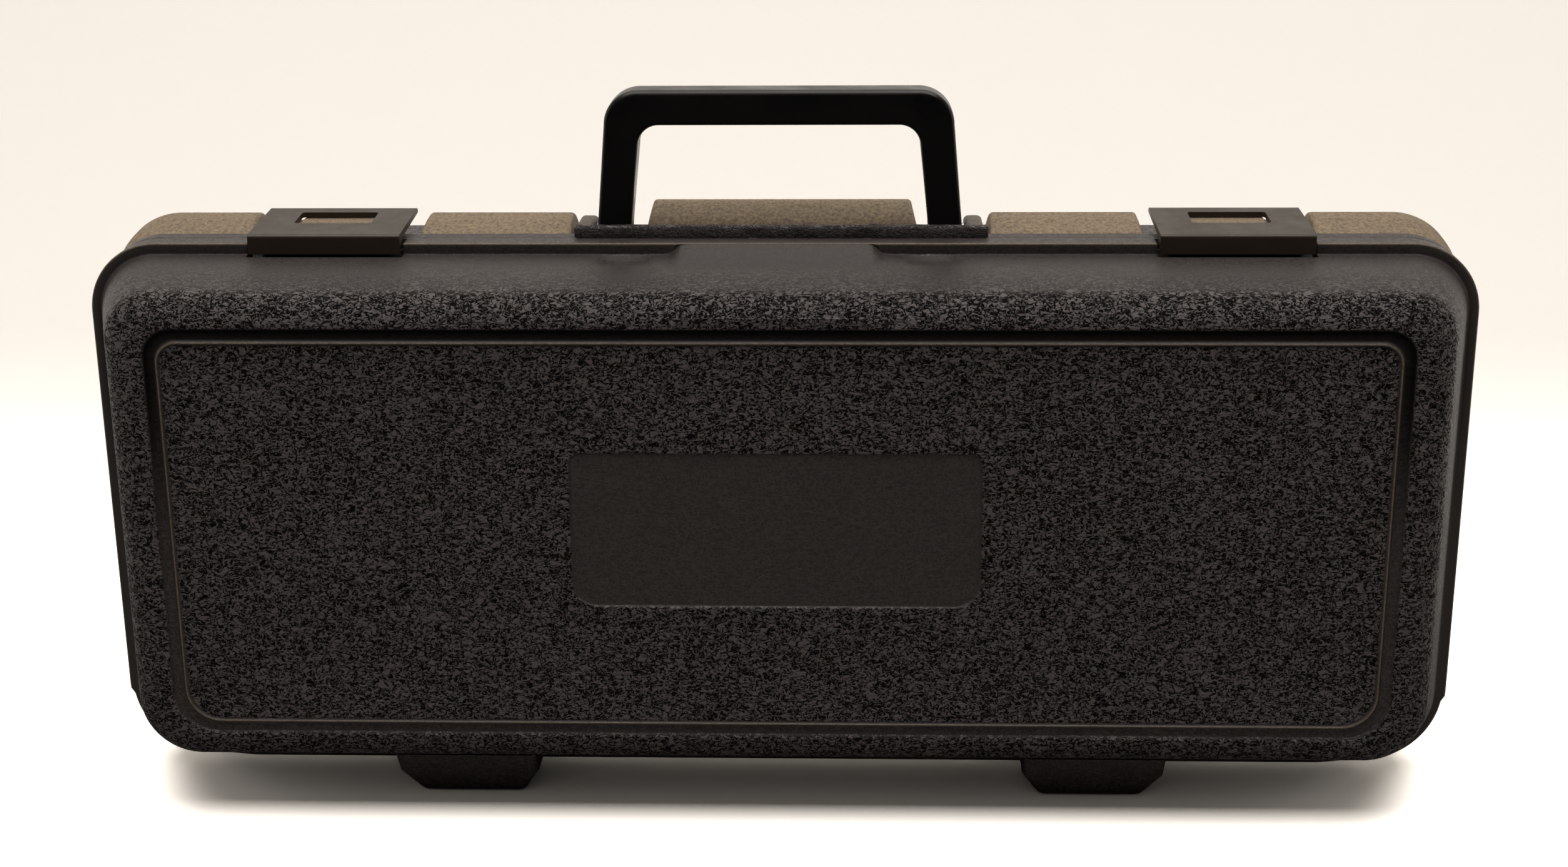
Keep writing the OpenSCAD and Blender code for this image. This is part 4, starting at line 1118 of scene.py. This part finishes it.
def makeLidPad():
    # Foam panel under plush: crowned, with drawn-in sides and a turned edge
    low, high = nodeBox("lid_pad")
    cornerR, crown, turnR = 12.0, 1.6, 3.4
    back, front = high[1], low[1]
    halfX, halfZ = (high[0] - low[0]) / 2 - 0.3, (high[2] - low[2]) / 2 - 0.3
    # Rounded-rectangle rings from the middle outwards, then round the edge and down to the lid
    made = newPiece("lidPadCushion", np.zeros((0, 3)), [], "lid", plush)
    work = bmesh.new()
    count = 160
    turn = [(sx, sz, math.radians(90 * q + 90 * k / (count // 4 - 1)))
            for q, (sx, sz) in enumerate(((1, 1), (-1, 1), (-1, -1), (1, -1))) for k in range(count // 4)]
    centre = np.array([(low[0] + high[0]) / 2, 0, (low[2] + high[2]) / 2])

    def ringAt(inset, y):
        r = max(cornerR - inset, 0.5)
        ring = []
        for sx, sz, a in turn:
            ring.append(work.verts.new(Vector((
                centre[0] + sx * (halfX - inset - r) + r * math.cos(a), y,
                centre[2] + sz * (halfZ - inset - r) + r * math.sin(a))) * mm))
        return ring

    levels = [(2.0, front), (0.6, front + 0.2), (0.9, front + 2.0), (0.6, (front + back) / 2)]
    for a in range(90, -1, -15):
        turned = math.radians(a)
        levels.append((turnR * (1 - math.sin(turned)) + 0.5, back - crown - turnR * (1 - math.cos(turned))))
    for share in (0.15, 0.3, 0.45, 0.6, 0.75, 0.9):
        inset = turnR + 0.5 + share * (halfZ - turnR - 3)
        levels.append((inset, back - crown + crown * math.sin(share * math.pi / 2)))
    rings = [ringAt(*level) for level in levels]
    for a, b in zip(rings, rings[1:]):
        for k in range(len(a)):
            m = (k + 1) % len(a)
            work.faces.new((a[k], a[m], b[m], b[k]))
    work.faces.new(rings[0][::-1])
    work.faces.new(rings[-1])
    work.to_mesh(made.data)
    work.free()
    tidyMesh(made, angle=60)
    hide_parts("lid_pad")
    return made


splitTray(makeTray())
makeLidLining()
makeLidPad()
print("lining made")


# Floor, light and camera

def paper(name, colour):
    # Seamless studio paper: matt, with a faint tooth. The camera sees it over-exposed near the floor, as in
    # the photograph, and the case mirrors a dark table there. Neither throws more light on the case.
    made, tree, shader = newMaterial(name)
    place = addNode(tree, "ShaderNodeTexCoord", {}, {}).outputs["Object"]
    tooth = addNode(tree, "ShaderNodeTexNoise", {}, {"Vector": place, "Scale": perMetre(1.5), "Detail": 3.0})
    bump = addNode(tree, "ShaderNodeBump", {}, {
        "Height": tooth.outputs["Fac"], "Distance": 0.05 * mm, "Strength": 0.3})
    behind = addNode(tree, "ShaderNodeSeparateXYZ", {}, {"Vector": place}).outputs["Y"]
    exposure = addNode(tree, "ShaderNodeMapRange", {"interpolation_type": "SMOOTHSTEP"}, {
        "Value": behind, "From Min": -0.02, "From Max": 0.34, "To Min": 2.2, "To Max": 0.73})
    mirrored = addNode(tree, "ShaderNodeMapRange", {}, {
        "Value": behind, "From Min": -0.05, "From Max": 0.3, "To Min": 0.1, "To Max": 0.7})
    path = addNode(tree, "ShaderNodeLightPath", {}, {})
    other = blend(tree, "FLOAT", path.outputs["Is Glossy Ray"], 0.88, mirrored.outputs[0])
    gain = blend(tree, "FLOAT", path.outputs["Is Camera Ray"], other, exposure.outputs[0])
    shade = addNode(tree, "ShaderNodeVectorMath", {"operation": "SCALE"}, {0: srgb(colour)[:3], "Scale": gain})
    seen = addNode(tree, "ShaderNodeBsdfDiffuse", {}, {"Color": shade.outputs[0], "Normal": bump.outputs["Normal"]})
    # The sweep is open from its back, so that the case can be seen from behind
    geometry = addNode(tree, "ShaderNodeNewGeometry", {}, {})
    clear = addNode(tree, "ShaderNodeBsdfTransparent", {}, {})
    # Far from the case the paper is as pale as the room, beyond the lamps' reach too
    away = addNode(tree, "ShaderNodeVectorMath", {"operation": "LENGTH"}, {0: place})
    far = addNode(tree, "ShaderNodeMapRange", {"interpolation_type": "SMOOTHSTEP"}, {
        "Value": away.outputs["Value"], "From Min": 0.8, "From Max": 1.4})
    glow = addNode(tree, "ShaderNodeEmission", {}, {"Color": srgb("#fbf6ee"), "Strength": 0.95})
    farShare = addNode(tree, "ShaderNodeMath", {"operation": "MULTIPLY"}, {
        0: far.outputs[0], 1: path.outputs["Is Camera Ray"]})
    front = addNode(tree, "ShaderNodeMixShader", {}, {0: farShare.outputs[0], 1: seen.outputs[0], 2: glow.outputs[0]})
    sheet = addNode(tree, "ShaderNodeMixShader", {}, {
        0: geometry.outputs["Backfacing"], 1: front.outputs[0], 2: clear.outputs[0]})
    tree.nodes.remove(shader)
    tree.links.new(sheet.outputs[0], tree.nodes["Material Output"].inputs["Surface"])
    return made


def makeStage():
    width, front, back, high, bend = 6000.0, -2500.0, 700.0, 2600.0, 600.0
    profile = [(front, 0.0), (back - bend, 0.0)]
    profile += [(back - bend + bend * math.sin(math.radians(a)), bend - bend * math.cos(math.radians(a)))
                for a in range(6, 91, 6)]
    profile += [(back, high)]
    points = [(x, y, z) for y, z in profile for x in (-width / 2, width / 2)]
    faces = [(2 * i, 2 * i + 1, 2 * i + 3, 2 * i + 2) for i in range(len(profile) - 1)]
    mesh = bpy.data.meshes.new("paperSweep")
    mesh.from_pydata((np.array(points) * mm).tolist(), [], faces)
    for polygon in mesh.polygons:
        polygon.use_smooth = True
    sweep = bpy.data.objects.new("paperSweep", mesh)
    mesh.materials.append(paper("studio paper", "#f4f2ee"))
    bpy.context.scene.collection.objects.link(sweep)
    return sweep


def addLamp(name, place, target, size, watts, colour):
    data = bpy.data.lights.new(name, "AREA")
    data.shape = "RECTANGLE"
    data.size, data.size_y = size
    data.energy = watts
    data.color = srgb(colour)[:3]
    lamp = bpy.data.objects.new(name, data)
    bpy.context.scene.collection.objects.link(lamp)
    lamp.location = place
    lamp.rotation_euler = (Vector(target) - Vector(place)).to_track_quat("-Z", "Y").to_euler()
    return lamp


def makeWorld():
    world = bpy.data.worlds.new("studio")
    bpy.context.scene.world = world
    world.use_nodes = True
    tree = world.node_tree
    # A dim room, so that faces turned to the camera reflect little. The camera itself sees a pale one.
    background = tree.nodes["Background"]
    background.inputs["Color"].default_value = srgb("#fbf6ee")
    path = addNode(tree, "ShaderNodeLightPath", {}, {})
    strength = blend(tree, "FLOAT", path.outputs["Is Camera Ray"], 0.03, 0.95)
    tree.links.new(strength, background.inputs["Strength"])


makeStage()
makeWorld()
addLamp("overheadSoftbox", (0, -0.2, 1.6), (0, 0, 0.1), (2.0, 1.5), 43, "#fff9f3")
addLamp("frontFill", (-0.3, -1.7, 1.4), (0, 0, 0.1), (1.6, 1.2), 2.0, "#fff8f0")
for side in (-1, 1):
    addLamp("sideCard", (side * 1.5, 0.0, 0.5), (0, 0, 0.1), (0.9, 0.9), 3, "#fff6ec")


def makeCamera():
    pitch, yaw, roll = (math.radians(a) for a in (17.53, 1.96, -0.44))
    forward = Vector((-math.sin(yaw) * math.cos(pitch), math.cos(yaw) * math.cos(pitch), -math.sin(pitch)))
    right0 = Vector((math.cos(yaw), math.sin(yaw), 0))
    up0 = right0.cross(forward)
    right = right0 * math.cos(roll) + up0 * math.sin(roll)
    up = up0 * math.cos(roll) - right0 * math.sin(roll)
    data = bpy.data.cameras.new("camera")
    data.sensor_width = 36.0
    data.lens = 51.8
    data.clip_end = 50.0
    camera = bpy.data.objects.new("camera", data)
    bpy.context.scene.collection.objects.link(camera)
    camera.matrix_world = Matrix((
        (right.x, up.x, -forward.x, 0.0226),
        (right.y, up.y, -forward.y, -0.631),
        (right.z, up.z, -forward.z, 0.3043),
        (0, 0, 0, 1)))
    bpy.context.scene.camera = camera


makeCamera()
bpy.context.scene.view_settings.view_transform = "Standard"
print("stage, lights and camera set")

bpy.context.view_layer.update()
